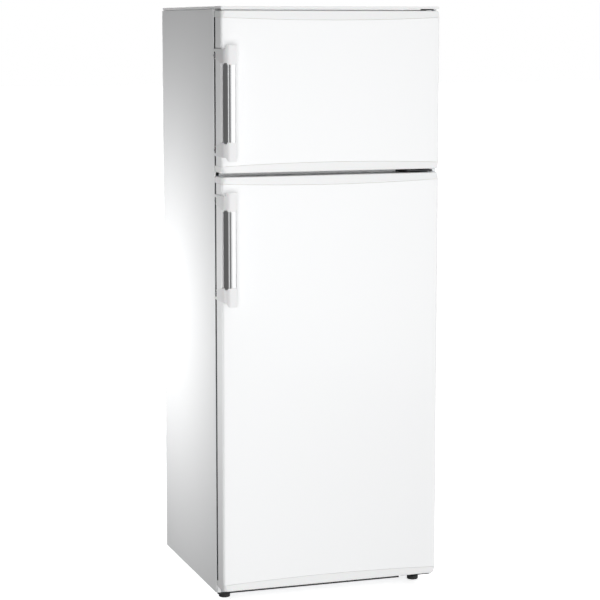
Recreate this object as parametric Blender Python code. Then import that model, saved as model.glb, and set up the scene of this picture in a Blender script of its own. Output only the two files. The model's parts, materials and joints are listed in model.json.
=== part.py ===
"""A two-door top-freezer refrigerator, built as separate parts, in metres with +Z up.

The front faces -Y, the hinges are on the +X side and the handles on the -X side. All functions
measure X from the cabinet's middle, Y from the doors' front plane and Z from the floor; the root
empty then centres the whole appliance on the origin.
"""
import math

import bmesh
import bpy
from mathutils import Vector

# Overall sizes
WIDTH = 0.550
HEIGHT = 1.435
CABINET_DEPTH = 0.475
DOOR_THICKNESS = 0.046
SEAL_SPACE = 0.016
HALF = WIDTH / 2
FRONT = DOOR_THICKNESS + SEAL_SPACE
BACK = FRONT + CABINET_DEPTH

# General clearances and sheet
GAP = 0.0003
SHEET = 0.001
LINER = 0.0015

# Heights
SIDE_BOTTOM = 0.017
TOP_PANEL = 0.006
PANEL_BOTTOM = HEIGHT - TOP_PANEL
SHELL_TOP = PANEL_BOTTOM - GAP
FREEZER_DOOR = (1.045, 1.425)
FRIDGE_DOOR = (0.035, 1.036)
SPLIT = (FREEZER_DOOR[0] + FRIDGE_DOOR[1]) / 2
TOP_ARM = FREEZER_DOOR[1] + 0.0013

# Door end caps and seals
CAP_SIDE = 0.016
CAP_MIDDLE = 0.0225
CAP_PLATE = 0.003
CAP_SKIRT = 0.0018
CAP_REACH = 0.009
CORNER = 0.006
SEAL_END = 0.018
SEAL_WIDTH = 0.014

# Hinge line, at the right
HINGE_X = HALF - 0.009
HINGE_Y = 0.020
PIN = 0.004
PLATE = 0.002

# Compartments
FREEZER_HALF = 0.230
FREEZER_Z = (1.080, 1.385)
FREEZER_BACK = BACK - 0.055
FRIDGE_HALF = 0.237
FRIDGE_Z = (0.072, 0.985)
FRIDGE_BACK = BACK - 0.045
HUMP_FRONT = FRONT + 0.238
HUMP_TOP = 0.265
HUMP_LEAN = 0.030
RAIL_HALF = 0.0215
FLOOR_Z = 0.0285
BAY_LEAD = 0.045
BAY_TOP = 0.225
SHELF_FRONT = 0.152
GLASS = 0.004
SHELVES_Z = (0.480, 0.650, 0.820)
CRISPER_Z = (0.0765, 0.290)
CRISPER_HALF = 0.228
HOUSING_HALF = 0.085
HOUSING_Y = (0.175, 0.290)
HOUSING = 0.036
LAMP_HALF = 0.045
LAMP_Y = (0.205, 0.275)
LAMP = 0.016
PLATE_HALF = 0.200
CRISPER_FRONT = 0.166
COVER_Z = 0.300
FREEZER_SHELF_Z = 1.226

# Door liner ribs and bins
RIB_OUT = 0.215
RIB_IN = 0.199
RIB_DEPTH = 0.100
FREEZER_RIB_INSET = 0.050
FRIDGE_RIB_INSET = 0.058
BIN_BACK = DOOR_THICKNESS + 0.0036
BIN_FRONT = 0.136
FREEZER_BINS = (("door_bin", 1.130, 0.070),)
FRIDGE_BINS = (("door_bin_bottle", 0.120, 0.110), ("door_bin_middle", 0.470, 0.080),
               ("door_bin_upper", 0.780, 0.080))

# Handles: the bracket follows the door's left side and then sweeps out in front of it
HANDLE_LENGTH = 0.270
FREEZER_HANDLE_Z = 1.210
FRIDGE_HANDLE_Z = 0.868
BRACKET = 0.0025
BRACKET_ARM = 0.033
BRACKET_FRONT = 0.036
BRACKET_TAIL = 0.024
BRACKET_STEP = 0.009
FLANGE_REACH = 0.053
HANDLE_OUT = 0.0405
BAR_X = (-0.003, 0.0255)
BAR_Y = (-0.0395, -0.0205)
SCREW_Y = 0.041
SCREW_DROP = 0.024

# The lamp switch, above the fresh-food compartment's mouth
SWITCH = 0.004
SWITCH_X = 0.120
SWITCH_Z = FRIDGE_Z[1] + 0.0105
SWITCH_OUT = 0.0050

# Feet and rollers
FOOT_X = 0.248
FOOT_Y = 0.085
FOOT = 0.014
STUD = 0.004
ROLLER = 0.016
ROLLER_X = 0.240
ROLLER_Y = BACK - 0.032
ROLLER_WIDTH = 0.014

# Cooling circuit
COIL = 0.0024
COIL_Y = BACK + 0.010
COIL_PASSES = 9
COIL_HALF = 0.205
COIL_Z = (0.300, 1.280)
COIL_END = 0.160
STANDOFF_X = 0.195
STANDOFFS_Z = (0.330, 1.250)
COMPRESSOR_AT = (0.035, BACK - 0.088)
COMPRESSOR = 0.064
CAN_BOTTOM = 0.050
CAN_TOP = 0.183
MOUNT_Z = (0.0345, 0.0365)
GROMMET_X = 0.065
GROMMET_Y = 0.034
DRIER_AT = (0.150, BACK - 0.060, 0.130)
INLET_X = (-0.205, -0.145)
INLET_Z = (0.040, 0.088)
INLET_BORE = 0.009
INLET_DEPTH = 0.015

# The appliance's box runs from the handles' screws to the sides and from the handles to the coil
CENTRE_X = (HALF - (HALF + BRACKET + 0.0028)) / 2
CENTRE_Y = (COIL_Y + COIL - HANDLE_OUT) / 2

COLOURS = {
    "white_steel": ((0.86, 0.87, 0.88), 0.32, 0.0),
    "white_plastic": ((0.85, 0.86, 0.86), 0.40, 0.0),
    "liner_plastic": ((0.88, 0.89, 0.90), 0.35, 0.0),
    "foam": ((0.78, 0.70, 0.45), 0.95, 0.0),
    "galvanised": ((0.55, 0.57, 0.58), 0.45, 1.0),
    "bar_metal": ((0.72, 0.73, 0.75), 0.18, 1.0),
    "black_steel": ((0.02, 0.02, 0.022), 0.45, 0.0),
    "black_plastic": ((0.03, 0.03, 0.03), 0.55, 0.0),
    "seal_rubber": ((0.14, 0.14, 0.15), 0.70, 0.0),
    "shelf_glass": ((0.75, 0.88, 0.86), 0.05, 0.0),
    "clear_plastic": ((0.80, 0.86, 0.90), 0.15, 0.0),
    "copper": ((0.72, 0.38, 0.24), 0.35, 1.0),
    "aluminium": ((0.74, 0.75, 0.76), 0.40, 1.0),
}


def clear_scene():
    """Remove every object that the file opened with."""
    for item in list(bpy.data.objects):
        bpy.data.objects.remove(item, do_unlink=True)


def material(name):
    """Return the named Principled material, making it on first use."""
    found = bpy.data.materials.get(name)
    if found:
        return found
    colour, roughness, metallic = COLOURS[name]
    made = bpy.data.materials.new(name)
    made.use_nodes = True
    shader = made.node_tree.nodes["Principled BSDF"]
    shader.inputs["Base Color"].default_value = (*colour, 1.0)
    shader.inputs["Roughness"].default_value = roughness
    shader.inputs["Metallic"].default_value = metallic
    return made


class Group:
    """An empty that carries the parts of one rigid body, standing on the body's joint axis."""

    def __init__(self, name, at, parent=None):
        self.at = Vector(at)
        self.empty = bpy.data.objects.new(name, None)
        bpy.context.scene.collection.objects.link(self.empty)
        if parent:
            self.empty.parent = parent.empty
            self.empty.location = self.at - parent.at
        else:
            self.empty.location = (-CENTRE_X, -CENTRE_Y, 0)

    def add(self, name, mesh_data, colour, origin=None, smooth=False):
        """Turn a bmesh into a named object of this group, with its origin at origin."""
        origin = Vector(origin) if origin else self.at
        bmesh.ops.recalc_face_normals(mesh_data, faces=mesh_data.faces)
        bmesh.ops.translate(mesh_data, vec=-origin, verts=mesh_data.verts)
        mesh = bpy.data.meshes.new(name)
        mesh_data.to_mesh(mesh)
        mesh_data.free()
        if smooth:
            mesh.shade_smooth()
            mesh.set_sharp_from_angle(angle=math.radians(35))
        made = bpy.data.objects.new(name, mesh)
        bpy.context.scene.collection.objects.link(made)
        made.parent = self.empty
        made.location = origin - self.at
        mesh.materials.append(material(colour))
        return made

    def tool(self, target, mesh_data, operation):
        """Add a Boolean to target with a hidden helper object made from a bmesh."""
        number = len(target.modifiers)
        helper = self.add(f"{target.name}_tool_{number}", mesh_data, "foam")
        helper.hide_render = True
        helper.display_type = "WIRE"
        step = target.modifiers.new(f"{operation.lower()}_{number}", "BOOLEAN")
        step.operation = operation
        step.solver = "EXACT"
        step.object = helper

    def cut(self, target, mesh_data):
        """Take a bmesh's volume out of target."""
        self.tool(target, mesh_data, "DIFFERENCE")

    def fuse(self, target, mesh_data):
        """Join a bmesh's volume to target."""
        self.tool(target, mesh_data, "UNION")


def block(x, y, z, bevel=0.0):
    """A box between pairs of X, Y and Z, with chamfered edges where bevel is given."""
    shape = bmesh.new()
    bmesh.ops.create_cube(shape, size=1.0)
    size = Vector((x[1] - x[0], y[1] - y[0], z[1] - z[0]))
    middle = Vector((sum(x), sum(y), sum(z))) / 2
    for vertex in shape.verts:
        vertex.co = Vector(a * b for a, b in zip(vertex.co, size)) + middle
    if bevel:
        bmesh.ops.bevel(shape, geom=shape.edges[:], offset=bevel, segments=1, affect="EDGES")
    return shape


def loft(rings, closed=False):
    """Bridge rings of equally many points; open chains get a flat face at each end."""
    shape = bmesh.new()
    made = [[shape.verts.new(point) for point in ring] for ring in rings]
    pairs = list(zip(made, made[1:]))
    if closed:
        pairs.append((made[-1], made[0]))
    else:
        shape.faces.new(made[0])
        shape.faces.new(made[-1])
    for first, second in pairs:
        for k in range(len(first)):
            after = (k + 1) % len(first)
            shape.faces.new((first[k], first[after], second[after], second[k]))
    return shape


def ribbon(outer, inner, lows, highs):
    """A thin wall between two plan outlines, whose lower and upper edges follow lows and highs."""
    rings = []
    for (ox, oy), (ix, iy), low, high in zip(outer, inner, lows, highs):
        rings.append(((ox, oy, low), (ox, oy, high), (ix, iy, high), (ix, iy, low)))
    return loft(rings)


def turned(profile, at, axis="Z", steps=24):
    """Spin a profile of (radius, height) points about an axis through at."""
    shape = bmesh.new()
    points = [shape.verts.new((radius, 0, height)) for radius, height in profile]
    for first, second in zip(points, points[1:]):
        shape.edges.new((first, second))
    spun = shape.verts[:] + shape.edges[:]
    bmesh.ops.spin(shape, geom=spun, cent=(0, 0, 0), axis=(0, 0, 1), angle=math.tau, steps=steps,
                   use_merge=True, use_duplicate=False)
    bmesh.ops.remove_doubles(shape, verts=shape.verts, dist=0.00001)
    turns = {"Z": lambda p: (p.x, p.y, p.z), "X": lambda p: (p.z, p.y, -p.x),
             "Y": lambda p: (p.x, p.z, -p.y)}
    for vertex in shape.verts:
        vertex.co = Vector(turns[axis](vertex.co)) + Vector(at)
    return shape


def rod(radius, span, at, axis="Z", steps=16):
    """A plain cylinder along an axis, from span[0] to span[1] of the height above at."""
    profile = [(0, span[0]), (radius, span[0]), (radius, span[1]), (0, span[1])]
    return turned(profile, at, axis, steps)


def tube(group, name, points, radius, colour):
    """A round tube along points, as a curve with a bevel and filled caps."""
    curve = bpy.data.curves.new(name, "CURVE")
    curve.dimensions = "3D"
    curve.bevel_depth = radius
    curve.bevel_resolution = 2
    curve.use_fill_caps = True
    line = curve.splines.new("POLY")
    line.points.add(len(points) - 1)
    for slot, point in zip(line.points, points):
        slot.co = (*(Vector(point) - group.at), 1.0)
    made = bpy.data.objects.new(name, curve)
    bpy.context.scene.collection.objects.link(made)
    made.parent = group.empty
    curve.materials.append(material(colour))
    return made


def rectangle(x, z, y, corner=0.0, arc=3):
    """An upright rectangle at depth y as points, with round corners where corner is given."""
    if not corner:
        return [(x[0], y, z[0]), (x[1], y, z[0]), (x[1], y, z[1]), (x[0], y, z[1])]
    points = []
    centres = ((x[0] + corner, z[0] + corner, 180), (x[1] - corner, z[0] + corner, 270),
               (x[1] - corner, z[1] - corner, 0), (x[0] + corner, z[1] - corner, 90))
    for cx, cz, start in centres:
        for k in range(arc + 1):
            angle = math.radians(start + 90 * k / arc)
            points.append((cx + corner * math.cos(angle), y, cz + corner * math.sin(angle)))
    return points


def flat_rectangle(x, y, z, corner=0.0, arc=3):
    """A level rectangle at height z as points."""
    return [(px, py, z) for px, _, py in rectangle(x, y, 0, corner, arc)]


def shrunk(pair, amount):
    """A pair of limits moved towards each other by amount."""
    return pair[0] + amount, pair[1] - amount


def open_box(x, y, z, wall, taper=0.0, corner=0.008):
    """An open-topped tray: outer walls, rim, inner walls and floor."""
    low = shrunk(x, taper), shrunk(y, taper)
    inner = shrunk(x, wall), shrunk(y, wall)
    inner_low = shrunk(x, wall + taper), shrunk(y, wall + taper)
    return loft([
        flat_rectangle(*low, z[0], corner),
        flat_rectangle(x, y, z[1], corner),
        flat_rectangle(*inner, z[1], corner - wall),
        flat_rectangle(*inner_low, z[0] + wall, corner - wall),
    ])


# ---------------------------------------------------------------- cabinet


def cabinet_shell(root):
    """The folded steel wrap: both side panels and the top."""
    outer = [(-HALF, SIDE_BOTTOM), (-HALF, SHELL_TOP), (HALF, SHELL_TOP), (HALF, SIDE_BOTTOM)]
    inside = HALF - SHEET
    inner = [(-inside, SIDE_BOTTOM), (-inside, SHELL_TOP - SHEET), (inside, SHELL_TOP - SHEET),
             (inside, SIDE_BOTTOM)]
    rings = []
    for (ox, oz), (ix, iz) in zip(outer, inner):
        rings.append(((ox, FRONT, oz), (ox, BACK, oz), (ix, BACK, iz), (ix, FRONT, iz)))
    root.add("cabinet_shell", loft(rings), "white_steel")


def top_panel(root):
    """The thin top that overhangs the doors."""
    span = (PANEL_BOTTOM, HEIGHT)
    root.add("top_panel", block((-HALF, HALF), (0.001, BACK), span, 0.0015), "white_plastic")


def bay_point(z, lead=0.0):
    """The Y and Z of the compressor bay's leaning front wall at height z, moved back by lead."""
    lean = HUMP_LEAN * (z - FLOOR_Z) / (HUMP_TOP - FRIDGE_Z[0])
    return HUMP_FRONT + BAY_LEAD + lean + lead, z


def base_pan(root):
    """The folded pan: front lip, floor, leaning riser and the compressor bay's ceiling."""
    inside = HALF - SHEET - GAP
    lip = FRONT + GAP
    outer = [(lip, SIDE_BOTTOM), (lip, FLOOR_Z + SHEET), bay_point(FLOOR_Z + SHEET, -SHEET),
             bay_point(BAY_TOP + SHEET, -SHEET), (BACK - 2 * SHEET, BAY_TOP + SHEET)]
    inner = [(lip + SHEET, SIDE_BOTTOM), (lip + SHEET, FLOOR_Z), bay_point(FLOOR_Z),
             bay_point(BAY_TOP), (BACK - 2 * SHEET, BAY_TOP)]
    rings = []
    for (oy, oz), (iy, iz) in zip(outer, inner):
        rings.append(((-inside, oy, oz), (inside, oy, oz), (inside, iy, iz), (-inside, iy, iz)))
    pan = root.add("base_pan", loft(rings), "galvanised")
    for side in (-1, 1):
        at = (side * FOOT_X, FOOT_Y, 0)
        root.cut(pan, rod(STUD + 0.001, (FLOOR_Z - 0.01, FLOOR_Z + 0.01), at))


def back_panel(root):
    """The rear sheet above the compressor bay, with four stand-offs for the coil."""
    inside = HALF - SHEET - GAP
    span = (BAY_TOP - 0.004, SHELL_TOP - SHEET - GAP)
    panel = root.add("back_panel", block((-inside, inside), (BACK - SHEET, BACK), span), "galvanised")
    reach = (BACK - SHEET / 2, COIL_Y - COIL - GAP)
    for x in (-STANDOFF_X, STANDOFF_X):
        for z in STANDOFFS_Z:
            root.fuse(panel, block((x - 0.006, x + 0.006), reach, (z - 0.010, z + 0.010)))


def fridge_space(grow, front):
    """The fresh-food compartment's volume, enlarged by grow, from depth front to the back."""
    x = (-FRIDGE_HALF - grow, FRIDGE_HALF + grow)
    top = FRIDGE_Z[1] + grow
    low = FRIDGE_Z[0] - grow
    corner = 0.012
    return loft([
        rectangle(x, (low, top), front, corner),
        rectangle(x, (low, top), HUMP_FRONT + grow, corner),
        rectangle(x, (HUMP_TOP - grow, top), HUMP_FRONT + HUMP_LEAN + grow, corner),
        rectangle(x, (HUMP_TOP - grow, top), FRIDGE_BACK + grow, corner),
    ])


def freezer_space(grow, front):
    """The freezer compartment's volume, enlarged by grow, from depth front to the back."""
    x = (-FREEZER_HALF - grow, FREEZER_HALF + grow)
    z = (FREEZER_Z[0] - grow, FREEZER_Z[1] + grow)
    return loft([rectangle(x, z, y, 0.012) for y in (front, FREEZER_BACK + grow)])


def liner(root, name, space, flange_z):
    """A moulded liner: the compartment's walls and the flange around its mouth."""
    inside = HALF - SHEET - 2 * GAP
    made = root.add(name, space(LINER, FRONT + LINER / 2), "liner_plastic")
    root.fuse(made, block((-inside, inside), (FRONT, FRONT + LINER), flange_z))
    root.cut(made, space(0, FRONT - 0.02))
    return made


def switch_bore():
    """The bore that guides the lamp switch's plunger into the cabinet's face."""
    return rod(SWITCH + 0.0005, (-0.010, 0.012), (SWITCH_X, FRONT, SWITCH_Z), "Y", 16)


def liners(root):
    """Both compartments' liners, which leave room for the rail between them."""
    bottom = FLOOR_Z + SHEET + 2 * GAP
    rail = SPLIT - RAIL_HALF - GAP, SPLIT + RAIL_HALF + GAP
    fridge = liner(root, "fridge_liner", fridge_space, (bottom, rail[0]))
    root.cut(fridge, switch_bore())
    liner(root, "freezer_liner", freezer_space, (rail[1], SHELL_TOP - SHEET - GAP))


def mullion_rail(root):
    """The steel cross rail between the two compartments."""
    inside = HALF - SHEET - 2 * GAP
    z = (SPLIT - RAIL_HALF, SPLIT + RAIL_HALF)
    root.add("mullion_rail", block((-inside, inside), (FRONT, FRONT + 0.0012), z), "white_steel")


def cabinet_foam(root):
    """The insulation between the shell and the liners."""
    inside = HALF - SHEET - 2 * GAP
    y = (FRONT + LINER + GAP, BACK - SHEET - GAP)
    z = (FLOOR_Z + SHEET + GAP, SHELL_TOP - SHEET - GAP)
    foam = root.add("cabinet_foam", block((-inside, inside), y, z), "foam")
    margin = LINER + GAP
    root.cut(foam, fridge_space(margin, FRONT - 0.02))
    root.cut(foam, freezer_space(margin, FRONT - 0.02))
    low = bay_point(0, -SHEET - 2 * GAP)
    high = bay_point(BAY_TOP + SHEET + GAP, -SHEET - 2 * GAP)
    bay = [low, high, (BACK + 0.01, high[1]), (BACK + 0.01, low[1])]
    root.cut(foam, loft([[(x, y0, z0) for y0, z0 in bay] for x in (-HALF, HALF)]))
    for side in (-1, 1):
        root.cut(foam, rod(STUD + 0.002, (0, FLOOR_Z + 0.014), (side * FOOT_X, FOOT_Y, 0)))
    root.cut(foam, switch_bore())


def hinge_plate(root, name, plate_z, flange_z, reach_x):
    """A hinge bracket: an upright flange on the cabinet's front and a level arm to the pin."""
    x = (HINGE_X - reach_x, HINGE_X - 0.003)
    flange_y = (FRONT - GAP - PLATE, FRONT - GAP)
    made = root.add(name, block(x, flange_y, flange_z), "black_steel")
    root.fuse(made, block(x, (HINGE_Y - 0.004, FRONT - GAP - PLATE / 2), plate_z))
    root.fuse(made, rod(0.0075, plate_z, (HINGE_X, HINGE_Y, 0), steps=20))
    return made


def hinges(root):
    """The top, middle and bottom hinge brackets, each with its own pins."""
    at = (HINGE_X, HINGE_Y, 0)
    arm = (TOP_ARM, PANEL_BOTTOM - GAP)
    top = hinge_plate(root, "top_hinge", arm, (arm[1] - 0.017, arm[1]), 0.062)
    root.fuse(top, rod(PIN, (FREEZER_DOOR[1] - 0.009, arm[0] + 0.001), at))
    arm = (SPLIT - PLATE, SPLIT + PLATE)
    flange = (SPLIT - 0.020, SPLIT + 0.020)
    middle = hinge_plate(root, "middle_hinge", arm, flange, 0.080)
    root.fuse(middle, rod(PIN, (FRIDGE_DOOR[1] - 0.009, FREEZER_DOOR[0] + 0.009), at))
    arm = (FRIDGE_DOOR[0] - 0.006, FRIDGE_DOOR[0] - 0.003)
    bottom = hinge_plate(root, "bottom_hinge", arm, (SIDE_BOTTOM, FRIDGE_DOOR[0] + 0.016), 0.062)
    root.fuse(bottom, rod(PIN, (arm[1] - 0.001, FRIDGE_DOOR[0] + 0.009), at))


# ---------------------------------------------------------------- cooling circuit


def condenser_coil(root):
    """The serpentine tube across the back, its lower end led down into the compressor bay."""
    low, high = COIL_Z
    bend = (high - low) / (COIL_PASSES - 1) / 2
    straight = COIL_HALF - bend
    points = []
    for k in range(COIL_PASSES):
        side = 1 if k % 2 else -1
        z = high - k * 2 * bend
        points.append((-side * straight, COIL_Y, z))
        points.append((side * straight, COIL_Y, z))
        if k < COIL_PASSES - 1:
            for step in range(1, 6):
                angle = math.pi * step / 6
                x = side * (straight + bend * math.sin(angle))
                points.append((x, COIL_Y, z - bend + bend * math.cos(angle)))
    end_x = points[-1][0]
    points += [(end_x - 0.02, COIL_Y, low - 0.006), (end_x - 0.03, COIL_Y, low - 0.03),
               (end_x - 0.03, COIL_Y, COIL_END)]
    tube(root, "condenser_coil", points, COIL, "black_steel")


def compressor(root):
    """The sealed compressor: a domed can with a weld flange, standing on its foot plate."""
    x, y = COMPRESSOR_AT
    r = COMPRESSOR
    weld, lip = (CAN_BOTTOM + 0.063, CAN_BOTTOM + 0.068), r + 0.004
    profile = [(0, CAN_BOTTOM + 0.002), (r * 0.55, CAN_BOTTOM + 0.002), (r * 0.90, CAN_BOTTOM + 0.012),
               (r * 0.98, CAN_BOTTOM + 0.030), (r, weld[0] - 0.001), (lip, weld[0]), (lip, weld[1]),
               (r, weld[1] + 0.001), (r * 0.98, CAN_TOP - 0.035), (r * 0.84, CAN_TOP - 0.015),
               (r * 0.50, CAN_TOP - 0.003), (0, CAN_TOP)]
    can = root.add("compressor", turned(profile, (x, y, 0), steps=28), "black_steel", smooth=True)
    foot = (CAN_BOTTOM, CAN_BOTTOM + 0.0035)
    root.fuse(can, block((x - 0.080, x + 0.080), (y - 0.045, y + 0.045), foot))
    cover = block((x + r + 0.0005, x + r + 0.026), (y - 0.026, y + 0.026), (0.070, 0.108), 0.003)
    root.add("terminal_cover", cover, "black_plastic")


def compressor_mount(root):
    """The rear cross plate under the compressor, with an ear and a stub axle for each roller."""
    inside = HALF - SHEET - GAP
    x, y = COMPRESSOR_AT
    plate_y = (y - 0.062, BACK - 0.003)
    plate = block((-inside, inside), plate_y, MOUNT_Z)
    mount = root.add("compressor_mount", plate, "galvanised")
    for side in (-1, 1):
        inner = ROLLER_X - ROLLER_WIDTH / 2 - 0.001
        ear_x = sorted((side * inner, side * (inner - 0.003)))
        ear_z = (0.008, sum(MOUNT_Z) / 2)
        root.fuse(mount, block(ear_x, (ROLLER_Y - 0.012, ROLLER_Y + 0.012), ear_z))
        span = sorted((side * (inner - 0.002), side * (inner + ROLLER_WIDTH + 0.003)))
        root.fuse(mount, rod(0.003, span, (0, ROLLER_Y, ROLLER), "X"))
    post = (sum(MOUNT_Z) / 2, CAN_BOTTOM - GAP)
    for dx in (-GROMMET_X, GROMMET_X):
        for dy in (-GROMMET_Y, GROMMET_Y):
            root.fuse(mount, rod(0.008, post, (x + dx, y + dy, 0), steps=12))


def drip_tray(root):
    """The open evaporation tray that sits on top of the compressor."""
    x, y = COMPRESSOR_AT
    tray_z = (CAN_TOP + 0.0005, CAN_TOP + 0.029)
    tray = open_box((x - 0.085, x + 0.085), (y - 0.052, y + 0.052), tray_z, 0.002)
    root.add("drip_tray", tray, "black_plastic")


def filter_drier(root):
    """The copper drier, a capsule with drawn-in ends."""
    profile = [(0, -0.055), (0.003, -0.055), (0.004, -0.045), (0.009, -0.035), (0.009, 0.035),
               (0.004, 0.045), (0.003, 0.055), (0, 0.055)]
    root.add("filter_drier", turned(profile, DRIER_AT, steps=16), "copper", smooth=True)


def suction_pipe(root):
    """The pipe from the compressor's left side up to the bay's ceiling."""
    x, y = COMPRESSOR_AT
    start = x - COMPRESSOR - 0.002
    points = []
    for k in range(7):
        angle = math.pi / 2 * k / 6
        points.append((start - 0.035 - 0.030 * math.sin(angle), y, 0.130 - 0.030 * math.cos(angle)))
    points = [(start, y, 0.100), *points, (start - 0.065, y, BAY_TOP - 0.003)]
    tube(root, "suction_pipe", points, 0.004, "copper")


def power_inlet(root):
    """The box low at the rear with the round inlet where a mains lead plugs in."""
    y = (BACK - 0.042, BACK - 0.004)
    inlet = root.add("power_inlet", block(INLET_X, y, INLET_Z, 0.002), "black_plastic")
    mouth = (sum(INLET_X) / 2, y[1], sum(INLET_Z) / 2)
    root.cut(inlet, rod(INLET_BORE, (-INLET_DEPTH, INLET_DEPTH), mouth, "Y"))


# ---------------------------------------------------------------- inside the cabinet


def interior(root):
    """Evaporator plate, shelves, crisper cover, control housing and lamp cover."""
    half = FREEZER_HALF - 0.0005
    plate_y = (FREEZER_BACK - 0.008, FREEZER_BACK - 0.0045)
    plate = block((-PLATE_HALF, PLATE_HALF), plate_y, shrunk(FREEZER_Z, 0.02))
    made = root.add("evaporator_plate", plate, "aluminium")
    for x in (-0.75 * PLATE_HALF, 0.75 * PLATE_HALF):
        feet_y = (FREEZER_BACK - 0.006, FREEZER_BACK - GAP)
        for z in shrunk(FREEZER_Z, 0.05):
            root.fuse(made, block((x - 0.008, x + 0.008), feet_y, (z - 0.008, z + 0.008)))
    shelf_z = (FREEZER_SHELF_Z, FREEZER_SHELF_Z + GLASS)
    shelf = block((-half, half), (SHELF_FRONT, FREEZER_BACK - 0.012), shelf_z, 0.001)
    root.add("freezer_shelf", shelf, "clear_plastic")
    half = FRIDGE_HALF - 0.0005
    for number, z in enumerate(SHELVES_Z, 1):
        glass = block((-half, half), (SHELF_FRONT, FRIDGE_BACK - 0.004), (z, z + GLASS), 0.001)
        root.add(f"glass_shelf_{number}", glass, "shelf_glass")
    cover_z = (COVER_Z, COVER_Z + GLASS)
    cover = block((-half, half), (SHELF_FRONT, FRIDGE_BACK - 0.004), cover_z, 0.001)
    root.add("crisper_cover", cover, "shelf_glass")
    top = FRIDGE_Z[1] - GAP
    housing = block((-HOUSING_HALF, HOUSING_HALF), HOUSING_Y, (top - HOUSING, top), 0.003)
    root.add("control_housing", housing, "white_plastic")
    lamp_top = top - HOUSING - GAP
    lamp = block((-LAMP_HALF, LAMP_HALF), LAMP_Y, (lamp_top - LAMP, lamp_top), 0.003)
    root.add("lamp_cover", lamp, "clear_plastic")


def crisper_drawer(root):
    """The open drawer at the bottom, which slides out towards the door."""
    body = Group("crisper", (0, CRISPER_FRONT, sum(CRISPER_Z) / 2), root)
    y = (CRISPER_FRONT, HUMP_FRONT - 0.004)
    x = (-CRISPER_HALF, CRISPER_HALF)
    drawer = open_box(x, y, CRISPER_Z, 0.0025, 0.003, 0.010)
    body.add("crisper_drawer", drawer, "clear_plastic")


def thermostat_knob(root):
    """The temperature knob on the housing's front, with a raised pointer rib."""
    z = FRIDGE_Z[1] - GAP - HOUSING / 2
    at = (0, HOUSING_Y[0] - GAP, z)
    profile = [(0, 0), (0.015, 0), (0.0145, 0.009), (0.0125, 0.011), (0, 0.011)]
    body = Group("knob", at, root)
    knob = body.add("thermostat_knob", turned([(r, -h) for r, h in profile], at, "Y", 24),
                    "white_plastic", smooth=True)
    rib_y = (at[1] - 0.0135, at[1] - 0.010)
    body.fuse(knob, block((-0.0015, 0.0015), rib_y, (z - 0.011, z + 0.011)))


def door_switch(root):
    """The lamp switch's plunger, which slides in its bore in the cabinet's face."""
    at = (SWITCH_X, FRONT, SWITCH_Z)
    body = Group("switch", at, root)
    profile = [(0, 0.004), (SWITCH, 0.004), (SWITCH, 0.0015 - SWITCH_OUT),
               (SWITCH - 0.001, -SWITCH_OUT), (0, -SWITCH_OUT)]
    body.add("door_switch", turned(profile, at, "Y", 16), "white_plastic", smooth=True)


def rollers(root):
    """The two rear rollers on the mounting plate's stub axles."""
    half = ROLLER_WIDTH / 2
    for side, name in ((-1, "left"), (1, "right")):
        at = (side * ROLLER_X, ROLLER_Y, ROLLER)
        body = Group(f"roller_{name}", at, root)
        inner, outer = 0.0034, ROLLER
        rings = [(inner, -half), (outer - 0.001, -half), (outer, -half + 0.001),
                 (outer, half - 0.001), (outer - 0.001, half), (inner, half), (inner, -half)]
        body.add(f"rear_roller_{name}", turned(rings, at, "X", 32), "black_plastic", smooth=True)


def feet(root):
    """The two front levelling feet: a disc with a threaded stud."""
    for side, name in ((-1, "left"), (1, "right")):
        at = (side * FOOT_X, FOOT_Y, 0)
        body = Group(f"foot_{name}", at, root)
        profile = [(0, 0), (FOOT - 0.001, 0), (FOOT, 0.001), (FOOT, 0.009), (FOOT - 0.003, 0.0115),
                   (STUD, 0.0115), (STUD, FLOOR_Z + 0.009), (0, FLOOR_Z + 0.009)]
        body.add(f"front_foot_{name}", turned(profile, at, steps=24), "black_plastic", smooth=True)


# ---------------------------------------------------------------- doors


def door_outline(inset, back, lip=0.0, corner=CORNER):
    """The door's plan from its rear left edge round the front to its rear right edge."""
    left, right, front = -HALF + inset, HALF - inset, inset
    radius = max(corner - inset, 0.001)
    arc, spans = 4, 12
    run = right - left - 2 * radius
    points = [(left + lip, back)] if lip else []
    points.append((left, back))
    for k in range(arc + 1):
        angle = math.pi / 2 * k / arc
        points.append((left + radius * (1 - math.cos(angle)), front + radius * (1 - math.sin(angle))))
    for k in range(1, spans):
        points.append((left + radius + run * k / spans, front))
    for k in range(arc + 1):
        angle = math.pi / 2 * k / arc
        points.append((right - radius * (1 - math.sin(angle)), front + radius * (1 - math.cos(angle))))
    points.append((right, back))
    if lip:
        points.append((right - lip, back))
    return points


def cap_height(x):
    """The height of an end cap at x: low at the door's sides and arched in the middle."""
    return CAP_SIDE + (CAP_MIDDLE - CAP_SIDE) * (1 - min(1, abs(x) / HALF) ** 2)


def door_skin(door, name, z):
    """The folded front sheet with its two sides and rear returns."""
    outer = door_outline(0, DOOR_THICKNESS, 0.012)
    inner = door_outline(SHEET, DOOR_THICKNESS - SHEET, 0.011)
    lows = [z[0] + cap_height(x) for x, _ in outer]
    highs = [z[1] - cap_height(x) for x, _ in outer]
    door.add(f"{name}_door_skin", ribbon(outer, inner, lows, highs), "white_steel")


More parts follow.
